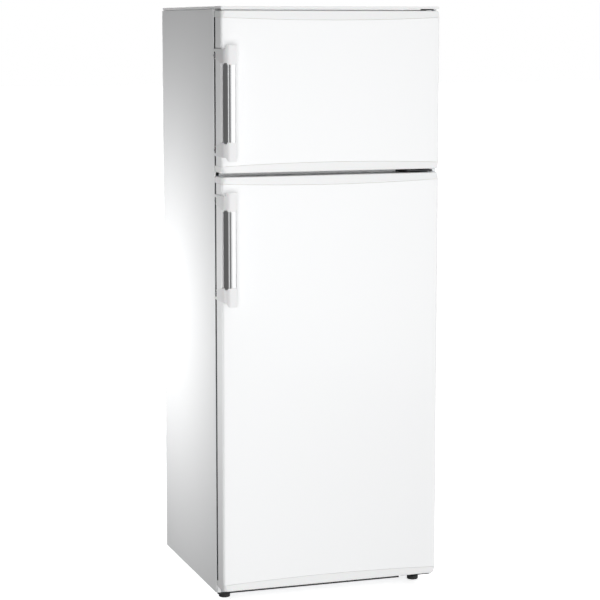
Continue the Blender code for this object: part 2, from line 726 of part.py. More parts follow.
def door_cap(door, name, end, toward):
    """A moulded end cap, open towards the door's middle; toward is +1 or -1 along Z."""
    chamfer = 0.0015
    back = DOOR_THICKNESS + CAP_REACH
    outer = door_outline(0, back)
    inner = door_outline(CAP_SKIRT, back - CAP_SKIRT)
    face = door_outline(chamfer, back - chamfer)
    edge = [end + toward * (cap_height(x) - GAP) for x, _ in outer]
    rings = [
        [(x, y, end) for x, y in face],
        [(x, y, end + toward * chamfer) for x, y in outer],
        [(x, y, z) for (x, y), z in zip(outer, edge)],
        [(x, y, z) for (x, y), z in zip(inner, edge)],
        [(x, y, end + toward * CAP_PLATE) for x, y in inner],
    ]
    cap = door.add(name, loft(rings), "white_plastic")
    span = (end - 0.01, end + 0.01)
    door.cut(cap, rod(PIN + 0.0005, span, (HINGE_X, HINGE_Y, 0), steps=20))


def door_foam(door, name, z):
    """The door's insulation, clear of the hinge pins at both ends."""
    inset = CAP_SKIRT + 2 * GAP
    outline = door_outline(inset, DOOR_THICKNESS - SHEET - GAP)
    rings = [[(x, y, level) for x, y in outline] for level in (z[0] + 0.0115, z[1] - 0.0115)]
    door.add(f"{name}_door_foam", loft(rings), "foam")


def door_liner(door, name, z, rib_inset):
    """The inner door panel with the raised rib that surrounds the bins."""
    near, far = DOOR_THICKNESS + GAP, DOOR_THICKNESS + 0.0033
    edge_x = (-HALF + 0.006, HALF - 0.006)
    edge_z = shrunk(z, SEAL_END)
    out_x, in_x = (-RIB_OUT, RIB_OUT), (-RIB_IN, RIB_IN)
    out_z = shrunk(z, rib_inset)
    in_z = shrunk(z, rib_inset + RIB_OUT - RIB_IN)
    door.add(f"{name}_door_liner", loft([
        rectangle(edge_x, edge_z, near, 0.010),
        rectangle(edge_x, edge_z, far, 0.010),
        rectangle(out_x, out_z, far, 0.012),
        rectangle(out_x, out_z, RIB_DEPTH, 0.012),
        rectangle(in_x, in_z, RIB_DEPTH, 0.006),
        rectangle(in_x, in_z, far, 0.006),
    ]), "liner_plastic")


def door_gasket(door, name, z):
    """The magnetic seal, a frame that meets the cabinet's face."""
    near, far = DOOR_THICKNESS + 0.0036, FRONT - GAP
    x = (-HALF + 0.009, HINGE_X)
    z = shrunk(z, SEAL_END + 0.0005)
    section = ((0.0, near), (0.0, far - 0.002), (0.002, far), (SEAL_WIDTH - 0.002, far),
               (SEAL_WIDTH, far - 0.002), (SEAL_WIDTH, near))
    rings = []
    for inset, y in section:
        rings.append(rectangle(shrunk(x, inset), shrunk(z, inset), y, 0.018 - inset))
    door.add(f"{name}_door_gasket", loft(rings, closed=True), "seal_rubber")


def door_bin(door, name, low, height):
    """A shelf box hung between the liner's ribs."""
    x = (-RIB_IN + 0.0005, RIB_IN - 0.0005)
    box = open_box(x, (BIN_BACK, BIN_FRONT), (low, low + height), 0.0022, 0.0, 0.010)
    door.add(name, box, "clear_plastic")


def bracket_line(offset):
    """The handle bracket's plan, offset outwards, from behind the door's side to its front."""
    side = -HALF - GAP - BRACKET / 2
    points = [(side - offset, FLANGE_REACH), (side - offset, 0.020), (side - offset, -0.002)]
    reach, turn = HANDLE_OUT - BRACKET / 2, 0.020
    centre = (side + turn, -reach + turn)
    for k in range(7):
        angle = math.pi / 2 * k / 6
        spread = turn + offset
        points.append((centre[0] - spread * math.cos(angle), centre[1] - spread * math.sin(angle)))
    points.append((-HALF + BAR_X[1], -reach - offset))
    return points


def bar_outline(inset, level):
    """The bar's section at height level: flat in front, rounded at its sides."""
    x = (-HALF + BAR_X[0] + inset, -HALF + BAR_X[1] - inset)
    y = (BAR_Y[0] + inset, BAR_Y[1] - inset)
    return flat_rectangle(x, y, level, 0.0075 - inset, 4)


def handle_bracket(door, name, end, toward):
    """One end of a handle: side flange, swept arm, stepped front and the bar's socket."""
    outer, inner = bracket_line(BRACKET / 2), bracket_line(-BRACKET / 2)
    count = len(outer)
    step_at = 6
    ends, starts = [], []
    for k in range(count):
        ends.append(end + toward * (0 if k >= step_at else BRACKET_STEP))
        arm = BRACKET_TAIL if k == 0 else BRACKET_ARM
        reach = BRACKET_FRONT if k >= 3 else arm
        starts.append(end + toward * (BRACKET_STEP + reach))
    outer.insert(step_at, outer[step_at - 1])
    inner.insert(step_at, inner[step_at - 1])
    shift = 0.0006
    outer[step_at] = (outer[step_at][0] + shift, outer[step_at][1] - shift)
    inner[step_at] = (inner[step_at][0] + shift, inner[step_at][1] - shift)
    ends.insert(step_at, end)
    starts.insert(step_at, starts[step_at - 1])
    made = door.add(name, ribbon(outer, inner, ends, starts), "white_plastic")
    rim = end + toward * (BRACKET_STEP + BRACKET_FRONT)
    door.fuse(made, loft([bar_outline(0.0002, rim), bar_outline(0.0002, rim - toward * 0.012)]))
    hole = end + toward * SCREW_DROP
    door.cut(made, rod(0.0024, (-HALF - 0.01, -HALF + 0.01), (0, SCREW_Y, hole), "X"))
    head = -HALF - GAP - BRACKET - GAP
    profile = [(0, head - 0.0022), (0.0030, head - 0.0022), (0.0045, head - 0.0008), (0.0045, head),
               (0.0020, head), (0.0020, -HALF - GAP), (0, -HALF - GAP)]
    screw = turned(profile, (0, SCREW_Y, hole), "X", 16)
    door.add(name.replace("bracket", "screw"), screw, "bar_metal", smooth=True)


def handle(door, name, middle):
    """A door's handle: two brackets, their screws and the metal bar between them."""
    low, high = middle - HANDLE_LENGTH / 2, middle + HANDLE_LENGTH / 2
    handle_bracket(door, f"{name}_handle_bracket_upper", high, -1)
    handle_bracket(door, f"{name}_handle_bracket_lower", low, 1)
    inset = BRACKET_STEP + BRACKET_FRONT + GAP
    rings = [bar_outline(0, low + inset), bar_outline(0, high - inset)]
    door.add(f"{name}_handle_bar", loft(rings), "bar_metal", smooth=True)


def door(root, name, z, handle_z, rib_inset, bins):
    """A whole door on its hinge line."""
    body = Group(f"{name}_door", (HINGE_X, HINGE_Y, z[0]), root)
    door_skin(body, name, z)
    door_cap(body, f"{name}_door_top_cap", z[1], -1)
    door_cap(body, f"{name}_door_bottom_cap", z[0], 1)
    door_foam(body, name, z)
    door_liner(body, name, z, rib_inset)
    door_gasket(body, name, z)
    for bin_name, low, height in bins:
        door_bin(body, f"{name}_{bin_name}", low, height)
    handle(body, name, handle_z)


def main():
    """Build the cabinet, what it holds and both doors."""
    clear_scene()
    root = Group("refrigerator", (0, 0, 0))
    for build in (cabinet_shell, top_panel, base_pan, back_panel, liners, mullion_rail, cabinet_foam,
                  hinges, condenser_coil, compressor, compressor_mount, drip_tray, filter_drier,
                  suction_pipe, power_inlet, interior, crisper_drawer, thermostat_knob, door_switch,
                  rollers, feet):
        build(root)
    door(root, "freezer", FREEZER_DOOR, FREEZER_HANDLE_Z, FREEZER_RIB_INSET, FREEZER_BINS)
    door(root, "fridge", FRIDGE_DOOR, FRIDGE_HANDLE_Z, FRIDGE_RIB_INSET, FRIDGE_BINS)


main()
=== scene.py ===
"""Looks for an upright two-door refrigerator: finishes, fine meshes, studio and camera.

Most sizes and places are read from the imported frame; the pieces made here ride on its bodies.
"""

from __future__ import annotations

import json
import logging
import math
from dataclasses import dataclass, field
from enum import Enum
from typing import Any, Iterable, Sequence

import bmesh
import bpy
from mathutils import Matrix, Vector

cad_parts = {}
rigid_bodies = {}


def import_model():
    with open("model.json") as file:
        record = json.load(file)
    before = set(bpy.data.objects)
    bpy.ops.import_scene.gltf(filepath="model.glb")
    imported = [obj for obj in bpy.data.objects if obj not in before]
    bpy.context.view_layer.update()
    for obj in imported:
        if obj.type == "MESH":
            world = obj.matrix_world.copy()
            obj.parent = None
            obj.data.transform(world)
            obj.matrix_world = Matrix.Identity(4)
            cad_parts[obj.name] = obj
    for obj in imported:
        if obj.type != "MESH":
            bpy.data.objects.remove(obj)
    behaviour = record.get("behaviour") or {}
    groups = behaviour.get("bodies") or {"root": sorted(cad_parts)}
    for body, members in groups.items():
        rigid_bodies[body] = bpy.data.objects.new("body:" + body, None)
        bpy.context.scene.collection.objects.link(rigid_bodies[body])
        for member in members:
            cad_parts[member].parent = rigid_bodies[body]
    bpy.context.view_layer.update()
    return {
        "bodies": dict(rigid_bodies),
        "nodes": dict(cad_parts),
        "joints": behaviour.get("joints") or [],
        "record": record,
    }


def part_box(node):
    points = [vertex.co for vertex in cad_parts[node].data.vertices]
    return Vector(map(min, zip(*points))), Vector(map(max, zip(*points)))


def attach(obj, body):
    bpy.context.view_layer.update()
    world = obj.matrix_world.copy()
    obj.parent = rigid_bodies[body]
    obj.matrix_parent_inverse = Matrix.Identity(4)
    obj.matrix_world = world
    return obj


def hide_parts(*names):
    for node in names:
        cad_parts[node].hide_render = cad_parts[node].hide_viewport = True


LOG = logging.getLogger("refrigerator")
Point = tuple[float, float, float]
Flat = tuple[float, float]
Span = tuple[float, float]
Ring = list[Point]


class End(Enum):
    """Which end of an upright piece is meant; the value points from that end to the middle."""

    UPPER = -1
    LOWER = 1


class Axis(Enum):
    """The axis that a turned or rounded piece stands on."""

    X = "X"
    Y = "Y"
    Z = "Z"

    def place(self, u: float, v: float, w: float) -> Point:
        """Return the point whose height along this axis is w.

        Args:
            u: The first coordinate across the axis.
            v: The second coordinate across the axis.
            w: The height along the axis.

        Returns:
            The point whose height along this axis is w.
        """
        if self is Axis.Z:
            return (u, v, w)
        return (u, w, v) if self is Axis.Y else (w, u, v)


# ------------------------------------------------------------------ shader graphs


class Wire:
    """A shader socket that takes part in Python arithmetic."""

    def __init__(self, graph: "Graph", socket: bpy.types.NodeSocket) -> None:
        """Keep the socket and the graph that new nodes go into."""
        self.graph = graph
        self.socket = socket

    def _math(self, operation: str, first: Any, second: Any) -> "Wire":
        """Add a Math node and return its value."""
        return self.graph.node("ShaderNodeMath", {"operation": operation}, {0: first, 1: second})

    def __add__(self, other: Any) -> "Wire":
        """Return self + other."""
        return self._math("ADD", self, other)

    __radd__ = __add__

    def __sub__(self, other: Any) -> "Wire":
        """Return self - other."""
        return self._math("SUBTRACT", self, other)

    def __rsub__(self, other: Any) -> "Wire":
        """Return other - self."""
        return self._math("SUBTRACT", other, self)

    def __mul__(self, other: Any) -> "Wire":
        """Return self * other."""
        return self._math("MULTIPLY", self, other)

    __rmul__ = __mul__

    def __pow__(self, other: Any) -> "Wire":
        """Return self to the power other."""
        return self._math("POWER", self, other)


class Graph:
    """The node tree of a material or of the world, built through one node method."""

    def __init__(self, owner: bpy.types.Material | bpy.types.World, place: str = "Object") -> None:
        """Empty the owner's node tree and read positions from the place output.

        Args:
            owner: The material or world.
            place: The output that gives positions.
        """
        self.owner = owner
        owner.use_nodes = True
        self.tree = owner.node_tree
        self.tree.nodes.clear()
        self.place = self.node("ShaderNodeTexCoord", output=place)

    def node(
        self,
        kind: str,
        settings: dict[str, Any] | None = None,
        inputs: dict[str | int, Any] | None = None,
        output: str | int = 0,
    ) -> Wire:
        """Add one node.

        Args:
            kind: The node's type name.
            settings: Attributes set before the sockets; "stops" holds a ramp's stops.
            inputs: Values or wires by socket name or number.
            output: The output socket that is returned.

        Returns:
            The chosen output as a wire.
        """
        made = self.tree.nodes.new(kind)
        for key, value in (settings or {}).items():
            if key == "stops":
                ramp = made.color_ramp
                while len(ramp.elements) < len(value):
                    ramp.elements.new(0.5)
                for stop, (at, tone) in zip(ramp.elements, value):
                    stop.position = at
                    stop.color = (tone, tone, tone, 1.0)
            else:
                setattr(made, key, value)
        for key, value in (inputs or {}).items():
            if isinstance(value, Wire):
                self.tree.links.new(value.socket, made.inputs[key])
            else:
                made.inputs[key].default_value = value
        return Wire(self, made.outputs[output])

    def noise(self, scale: float, detail: float = 2.0, stretch: Point = (1, 1, 1)) -> Wire:
        """Return fractal noise in object space, squeezed along the axes by stretch."""
        where = self.node("ShaderNodeMapping", None, {"Vector": self.place, "Scale": stretch})
        return self.node("ShaderNodeTexNoise", None, {"Vector": where, "Scale": scale, "Detail": detail})

    def mix(self, factor: Any, first: Point, second: Point) -> Wire:
        """Return a colour between first and second."""
        inputs = {"Factor": factor, 6: (*first, 1.0), 7: (*second, 1.0)}
        return self.node("ShaderNodeMix", {"data_type": "RGBA"}, inputs, output=2)

    def bump(self, height: Wire, strength: float, distance: float) -> Wire:
        """Return a normal bent by height."""
        inputs = {"Height": height, "Strength": strength, "Distance": distance}
        return self.node("ShaderNodeBump", None, inputs)

    def finish(self, shader: Wire, kind: str) -> None:
        """Lead the shader into an output node of this kind."""
        end = self.tree.nodes.new(kind)
        self.tree.links.new(shader.socket, end.inputs["Surface"])

    def surface(self, **sockets: Any) -> bpy.types.Material:
        """End the graph in a Principled shader.

        Args:
            sockets: The shader's inputs, by their names in snake case.

        Returns:
            The material.
        """
        named = {key.replace("_", " ").title().replace("Ior", "IOR"): v for key, v in sockets.items()}
        self.finish(self.node("ShaderNodeBsdfPrincipled", None, named), "ShaderNodeOutputMaterial")
        return self.owner


@dataclass(frozen=True)
class Finish:
    """A surface finish: its name, its record slot and how its material is made."""

    name: str
    slot: str
    colour: Point
    roughness: float = 0.4

    def build(self, graph: Graph) -> bpy.types.Material:
        """Make the material's nodes; each kind of finish has its own."""
        raise NotImplementedError

    def material(self) -> bpy.types.Material:
        """Return the material, made on first use."""
        found = bpy.data.materials.get(self.name)
        return found or self.build(Graph(bpy.data.materials.new(self.name)))


def shade(colour: Point, amount: float) -> Point:
    """Return the colour scaled by amount."""
    return (colour[0] * amount, colour[1] * amount, colour[2] * amount)


@dataclass(frozen=True)
class Enamel(Finish):
    """Baked white enamel on sheet steel: faint orange peel and slow gloss changes."""

    peel: float = 0.035

    def build(self, graph: Graph) -> bpy.types.Material:
        """Make the enamel.

        Args:
            graph: The new material's node graph.

        Returns:
            The material.
        """
        slow = graph.noise(2.2, 3.0)
        peel = graph.noise(420.0, 2.0)
        return graph.surface(
            base_color=graph.mix(slow, shade(self.colour, 0.985), self.colour),
            roughness=self.roughness + (slow - 0.5) * 0.05 + (peel - 0.5) * 0.04,
            normal=graph.bump(peel, self.peel, 0.0006),
            coat_weight=0.25,
            coat_roughness=0.12,
        )


@dataclass(frozen=True)
class Moulding(Finish):
    """Injection-moulded or vacuum-formed plastic with a fine spark-eroded grain."""

    grain: float = 900.0
    depth: float = 0.10
    soft: float = 0.03

    def build(self, graph: Graph) -> bpy.types.Material:
        """Make the plastic.

        Args:
            graph: The new material's node graph.

        Returns:
            The material.
        """
        grain = graph.noise(self.grain, 3.0)
        slow = graph.noise(6.0, 2.0)
        return graph.surface(
            base_color=graph.mix(slow, shade(self.colour, 0.97), self.colour),
            roughness=self.roughness + (grain - 0.5) * 0.12 + (slow - 0.5) * 0.06,
            normal=graph.bump(grain, self.depth, 0.0003),
            subsurface_weight=self.soft,
            subsurface_scale=0.002,
        )


@dataclass(frozen=True)
class DrawnMetal(Finish):
    """Bright metal drawn or brushed along one axis."""

    along: Point = (1.0, 1.0, 0.02)
    scale: float = 700.0
    depth: float = 0.05
    tarnish: float = 0.08

    def build(self, graph: Graph) -> bpy.types.Material:
        """Make the metal.

        Args:
            graph: The new material's node graph.

        Returns:
            The material.
        """
        lines = graph.noise(self.scale, 3.0, self.along)
        cloud = graph.noise(18.0, 4.0)
        return graph.surface(
            base_color=graph.mix(cloud, shade(self.colour, 1 - self.tarnish), self.colour),
            metallic=1.0,
            roughness=self.roughness + (lines - 0.5) * 0.10 + (cloud - 0.5) * 0.05,
            normal=graph.bump(lines, self.depth, 0.0002),
        )


@dataclass(frozen=True)
class Spangle(Finish):
    """Hot-dip galvanised sheet with zinc crystals."""

    def build(self, graph: Graph) -> bpy.types.Material:
        """Make the zinc surface.

        Args:
            graph: The new material's node graph.

        Returns:
            The material.
        """
        cells = graph.node("ShaderNodeTexVoronoi", None, {"Vector": graph.place, "Scale": 70.0}, "Color")
        tone = graph.node("ShaderNodeSeparateColor", None, {"Color": cells}, "Red")
        fine = graph.noise(300.0, 3.0)
        return graph.surface(
            base_color=graph.mix(tone, shade(self.colour, 0.78), self.colour),
            metallic=0.85,
            roughness=self.roughness + (tone - 0.5) * 0.16 + (fine - 0.5) * 0.06,
            normal=graph.bump(fine, 0.06, 0.0003),
        )


@dataclass(frozen=True)
class PowderCoat(Finish):
    """Satin powder coat on steel, with the coat's fine pebble."""

    def build(self, graph: Graph) -> bpy.types.Material:
        """Make the coat.

        Args:
            graph: The new material's node graph.

        Returns:
            The material.
        """
        pebble = graph.noise(650.0, 2.0)
        dust = graph.noise(9.0, 4.0)
        return graph.surface(
            base_color=graph.mix(dust, self.colour, shade(self.colour, 1.5)),
            roughness=self.roughness + (dust - 0.5) * 0.14,
            normal=graph.bump(pebble, 0.18, 0.0004),
        )


@dataclass(frozen=True)
class Vinyl(Finish):
    """Soft extruded seal vinyl."""

    def build(self, graph: Graph) -> bpy.types.Material:
        """Make the vinyl.

        Args:
            graph: The new material's node graph.

        Returns:
            The material.
        """
        bloom = graph.noise(25.0, 4.0)
        fine = graph.noise(800.0, 2.0)
        return graph.surface(
            base_color=graph.mix(bloom, self.colour, shade(self.colour, 1.25)),
            roughness=self.roughness + (bloom - 0.5) * 0.15,
            normal=graph.bump(fine, 0.08, 0.0003),
        )


@dataclass(frozen=True)
class Pane(Finish):
    """Glass or clear plastic, with faint handling haze."""

    clear: float = 0.9
    haze: float = 0.05
    index: float = 1.5

    def build(self, graph: Graph) -> bpy.types.Material:
        """Make the clear body.

        Args:
            graph: The new material's node graph.

        Returns:
            The material.
        """
        smear = graph.noise(14.0, 5.0)
        fine = graph.noise(60.0, 2.0)
        return graph.surface(
            base_color=graph.mix(smear, shade(self.colour, 0.97), self.colour),
            roughness=self.roughness + smear * self.haze,
            transmission_weight=self.clear,
            ior=self.index,
            normal=graph.bump(fine, 0.02, 0.0004),
        )


@dataclass(frozen=True)
class Froth(Finish):
    """Cured insulation foam, pitted and slightly yellow."""

    def build(self, graph: Graph) -> bpy.types.Material:
        """Make the foam.

        Args:
            graph: The new material's node graph.

        Returns:
            The material.
        """
        cells = graph.node("ShaderNodeTexVoronoi", None, {"Vector": graph.place, "Scale": 500.0}, "Distance")
        cloud = graph.noise(20.0, 4.0)
        return graph.surface(
            base_color=graph.mix(cloud, shade(self.colour, 0.85), self.colour),
            roughness=self.roughness + (cloud - 0.5) * 0.06,
            normal=graph.bump(cells, 0.6, 0.0008),
        )


CABINET_WHITE = Enamel("cabinet_enamel", "white_steel", (0.80, 0.805, 0.81), 0.34)
DOOR_WHITE = Enamel("door_enamel", "white_steel", (0.84, 0.845, 0.85), 0.30)
CAP_WHITE = Moulding("cap_plastic", "white_plastic", (0.80, 0.805, 0.805), 0.36)
HANDLE_WHITE = Moulding("handle_plastic", "white_plastic", (0.75, 0.75, 0.755), 0.34, depth=0.04)
LINER_WHITE = Moulding("liner_plastic", "liner_plastic", (0.84, 0.85, 0.86), 0.30, grain=350.0, depth=0.03)
TRIM_WHITE = Moulding("trim_plastic", "white_plastic", (0.80, 0.81, 0.82), 0.35)
BLACK_MOULDING = Moulding("black_plastic", "black_plastic", (0.02, 0.02, 0.021), 0.50, soft=0.0)
SATIN_BAR = DrawnMetal("satin_bar", "bar_metal", (0.76, 0.77, 0.775), 0.30)
SCREW_STEEL = DrawnMetal("screw_zinc", "bar_metal", (0.62, 0.63, 0.66), 0.28, (1, 1, 1), 260.0, 0.08)
ZINC = Spangle("galvanised_sheet", "galvanised", (0.50, 0.52, 0.54), 0.42)
HINGE_BLACK = PowderCoat("hinge_coat", "black_steel", (0.016, 0.016, 0.018), 0.42)
COIL_BLACK = PowderCoat("coil_paint", "black_steel", (0.020, 0.020, 0.022), 0.38)
CAN_BLACK = PowderCoat("compressor_paint", "black_steel", (0.014, 0.014, 0.015), 0.28)
SEAL_GREY = Vinyl("seal_vinyl", "seal_rubber", (0.022, 0.022, 0.024), 0.60)
SHELF_GLASS = Pane("tempered_glass", "shelf_glass", (0.93, 0.985, 0.965), 0.02, 0.82, 0.04, 1.38)
CLEAR_STYRENE = Pane("clear_styrene", "clear_plastic", (0.955, 0.975, 0.985), 0.06, 0.68, 0.12, 1.40)
LAMP_LENS = Pane("lamp_lens", "clear_plastic", (0.97, 0.97, 0.96), 0.18, 0.6, 0.1, 1.5)
PIPE_COPPER = DrawnMetal("pipe_copper", "copper", (0.70, 0.36, 0.22), 0.32, (1, 1, 0.1), 300.0, 0.06, 0.3)
ROLLED_ALU = DrawnMetal("rolled_aluminium", "aluminium", (0.72, 0.73, 0.74), 0.35, (0.02, 1, 1), 500.0)
FOAM = Froth("insulation_foam", "foam", (0.74, 0.66, 0.42), 0.92)


# ------------------------------------------------------------------ mesh kit


def loft(rings: Sequence[Sequence[Point]], closed: bool = False, capped: bool = True) -> bmesh.types.BMesh:
    """Bridge rings of equally many points.

    Args:
        rings: The rings in order.
        closed: Whether the last ring joins the first.
        capped: Whether an open chain gets a face at each end.

    Returns:
        The bridged mesh.
    """
    shape = bmesh.new()
    made = [[shape.verts.new(point) for point in ring] for ring in rings]
    pairs = list(zip(made, made[1:]))
    if closed:
        pairs.append((made[-1], made[0]))
    elif capped:
        shape.faces.new(made[0])
        shape.faces.new(made[-1])
    for first, second in pairs:
        for k in range(len(first)):
            after = (k + 1) % len(first)
            shape.faces.new((first[k], first[after], second[after], second[k]))
    return shape


def merged(shapes: Iterable[bmesh.types.BMesh]) -> bmesh.types.BMesh:
    """Put several meshes into one, as separate shells.

    Args:
        shapes: The meshes; they are used up.

    Returns:
        The joined mesh.
    """
    whole = bmesh.new()
    for shape in shapes:
        bmesh.ops.recalc_face_normals(shape, faces=shape.faces)
        copy = bpy.data.meshes.new("part")
        shape.to_mesh(copy)
        shape.free()
        whole.from_mesh(copy)
        bpy.data.meshes.remove(copy)
    return whole


def shrink(span: Span, amount: float) -> Span:
    """Return the span with both limits moved inwards by amount."""
    return (span[0] + amount, span[1] - amount)


def quarter(steps: int) -> list[Flat]:
    """Return a quarter round as shares (1 - sin, 1 - cos) of its radius, in even steps."""
    angles = [math.pi / 2 * k / steps for k in range(steps + 1)]
    return [(1 - math.sin(angle), 1 - math.cos(angle)) for angle in angles]


def rounded(u: Span, v: Span, radius: float, arc: int = 6) -> list[Flat]:
    """Return a rectangle's outline with round corners, anticlockwise.

    Args:
        u: The first span.
        v: The second span.
        radius: Radius of the corners.
        arc: Segments round a corner.

    Returns:
        A rectangle's outline with round corners, anticlockwise.
    """
    radius = max(min(radius, (u[1] - u[0]) / 2.001, (v[1] - v[0]) / 2.001), 1e-5)
    corners = (
        (u[0] + radius, v[0] + radius, 180),
        (u[1] - radius, v[0] + radius, 270),
        (u[1] - radius, v[1] - radius, 0),
        (u[0] + radius, v[1] - radius, 90),
    )
    points = []
    for cu, cv, start in corners:
        for k in range(arc + 1):
            angle = math.radians(start + 90 * k / arc)
            points.append((cu + radius * math.cos(angle), cv + radius * math.sin(angle)))
    return points


def raised(points: Sequence[Flat], height: float, axis: Axis = Axis.Z) -> Ring:
    """Lift a flat outline to a height on an axis."""
    return [axis.place(u, v, height) for u, v in points]


def nested(
    u: Span, v: Span, rows: Iterable[Point], axis: Axis = Axis.Z, arc: int = 6
) -> list[Ring]:
    """Return one rounded ring for each row.

    Args:
        u: The first span across the axis.
        v: The second span across the axis.
        rows: Each ring's inset, corner radius and height.
        axis: The axis that the rings are stacked on.
        arc: Segments round a corner.

    Returns:
        The rings, in the rows' order.
    """
    return [
        raised(rounded(shrink(u, inset), shrink(v, inset), radius, arc), height, axis)
        for inset, radius, height in rows
    ]


def slab(
    u: Span, v: Span, w: Span, corner: float, edge: float, axis: Axis = Axis.Z, steps: int = 3, arc: int = 5
) -> bmesh.types.BMesh:
    """A block with round corners in plan and round edges at both faces.

    Args:
        u: Its first span, across the axis.
        v: Its second span, across the axis.
        w: Its span along the axis.
        corner: Radius of the corners in plan.
        edge: Radius of the edges at both faces.
        axis: The axis that it stands on.
        steps: Segments round an edge.
        arc: Segments round a corner.

    Returns:
        The block's mesh.
    """
    rings = []
    for low in (True, False):
        for k in range(steps + 1):
            angle = math.pi / 2 * (k if low else steps - k) / steps
            inset = edge * (1 - math.sin(angle))
            rise = edge * (1 - math.cos(angle))
            height = w[0] + rise if low else w[1] - rise
            outline = rounded(shrink(u, inset), shrink(v, inset), corner - inset, arc)
            rings.append(raised(outline, height, axis))
    return loft(rings)


@dataclass(frozen=True)
class Grip:
    """Flutes in a turned piece's side: one every few steps, between two heights."""

    every: int
    width: int
    depth: float
    between: Span

    def share(self, step: int, height: float) -> float:
        """Return the share of the radius that is left at a step and height."""
        cut = step % self.every < self.width and self.between[0] < abs(height) < self.between[1]
        return 1.0 - self.depth if cut else 1.0


def turned(
    profile: Sequence[Flat],
    at: Point,
    axis: Axis = Axis.Z,
    steps: int = 32,
    closed: bool = False,
    grip: Grip | None = None,
) -> bmesh.types.BMesh:
    """Turn a profile round an axis.

    Args:
        profile: Points of (radius, height).
        at: A point that the axis runs through; heights count from it.
        axis: The axis.
        steps: Segments round the axis.
        closed: Whether the profile closes on itself, which makes a ring.
        grip: The flutes in its side, if any.

    Returns:
        The turned mesh.
    """
    base = Vector(at)
    rings = []
    for radius, height in profile:
        ring = []
        for k in range(steps):
            angle = math.tau * k / steps
            reach = radius * grip.share(k, height) if grip else radius
            spot = axis.place(reach * math.cos(angle), reach * math.sin(angle), height)
            ring.append(tuple(base + Vector(spot)))
        rings.append(ring)
    return loft(rings, closed=closed)


def tube(points: Sequence[Point], radius: float, sides: int = 10) -> bmesh.types.BMesh:
    """Sweep a circle along a line of points.

    Args:
        points: The points in order.
        radius: Its radius.
        sides: Points round the line.

    Returns:
        The mesh.
    """
    line = [Vector(p) for p in points]
    ahead = [(b - a).normalized() for a, b in zip(line, line[1:])]
    ahead = [ahead[0]] + [(a + b).normalized() for a, b in zip(ahead, ahead[1:])] + [ahead[-1]]
    side = ahead[0].orthogonal().normalized()
    rings = []
    for spot, direction in zip(line, ahead):
        side = (side - direction * side.dot(direction)).normalized()
        other = direction.cross(side)
        ring = []
        for k in range(sides):
            angle = math.tau * k / sides
            ring.append(tuple(spot + (side * math.cos(angle) + other * math.sin(angle)) * radius))
        rings.append(ring)
    return loft(rings)


def screw_head(at: Point, axis: Axis, toward: int, radius: float) -> bmesh.types.BMesh:
    """A domed screw head with a cross recess, standing on at and facing along the axis.

    Args:
        at: Where it stands.
        axis: The axis that it faces along.
        toward: 1 or -1, the way it faces on the axis.
        radius: Its radius.

    Returns:
        The mesh.
    """
    reach, half = radius * 0.62, radius * 0.16
    cross = []
    for k in range(4):
        turn = math.tau * k / 4
        for u, v in ((reach, -half), (reach, half), (half, half)):
            cross.append((u * math.cos(turn) - v * math.sin(turn), u * math.sin(turn) + v * math.cos(turn)))
    outline = []
    for first, second in zip(cross, cross[1:] + cross[:1]):
        outline += [first, ((first[0] + second[0]) / 2, (first[1] + second[1]) / 2)]
    start = math.atan2(outline[0][1], outline[0][0])
    rings = []
    for share, height in ((1.0, 0.0), (1.0, 0.18), (0.93, 0.36), (0.80, 0.48)):
        ring = []
        for k in range(24):
            angle = start + math.tau * k / 24
            ring.append((radius * share * math.cos(angle), radius * share * math.sin(angle), height))
        rings.append(ring)
    rings.append([(u, v, 0.52) for u, v in outline])
    rings.append([(u * 0.8, v * 0.8, 0.18) for u, v in outline])
    base = Vector(at)
    placed = []
    for ring in rings:
        placed.append([tuple(base + Vector(axis.place(u, v, toward * h * radius))) for u, v, h in ring])
    return loft(placed)


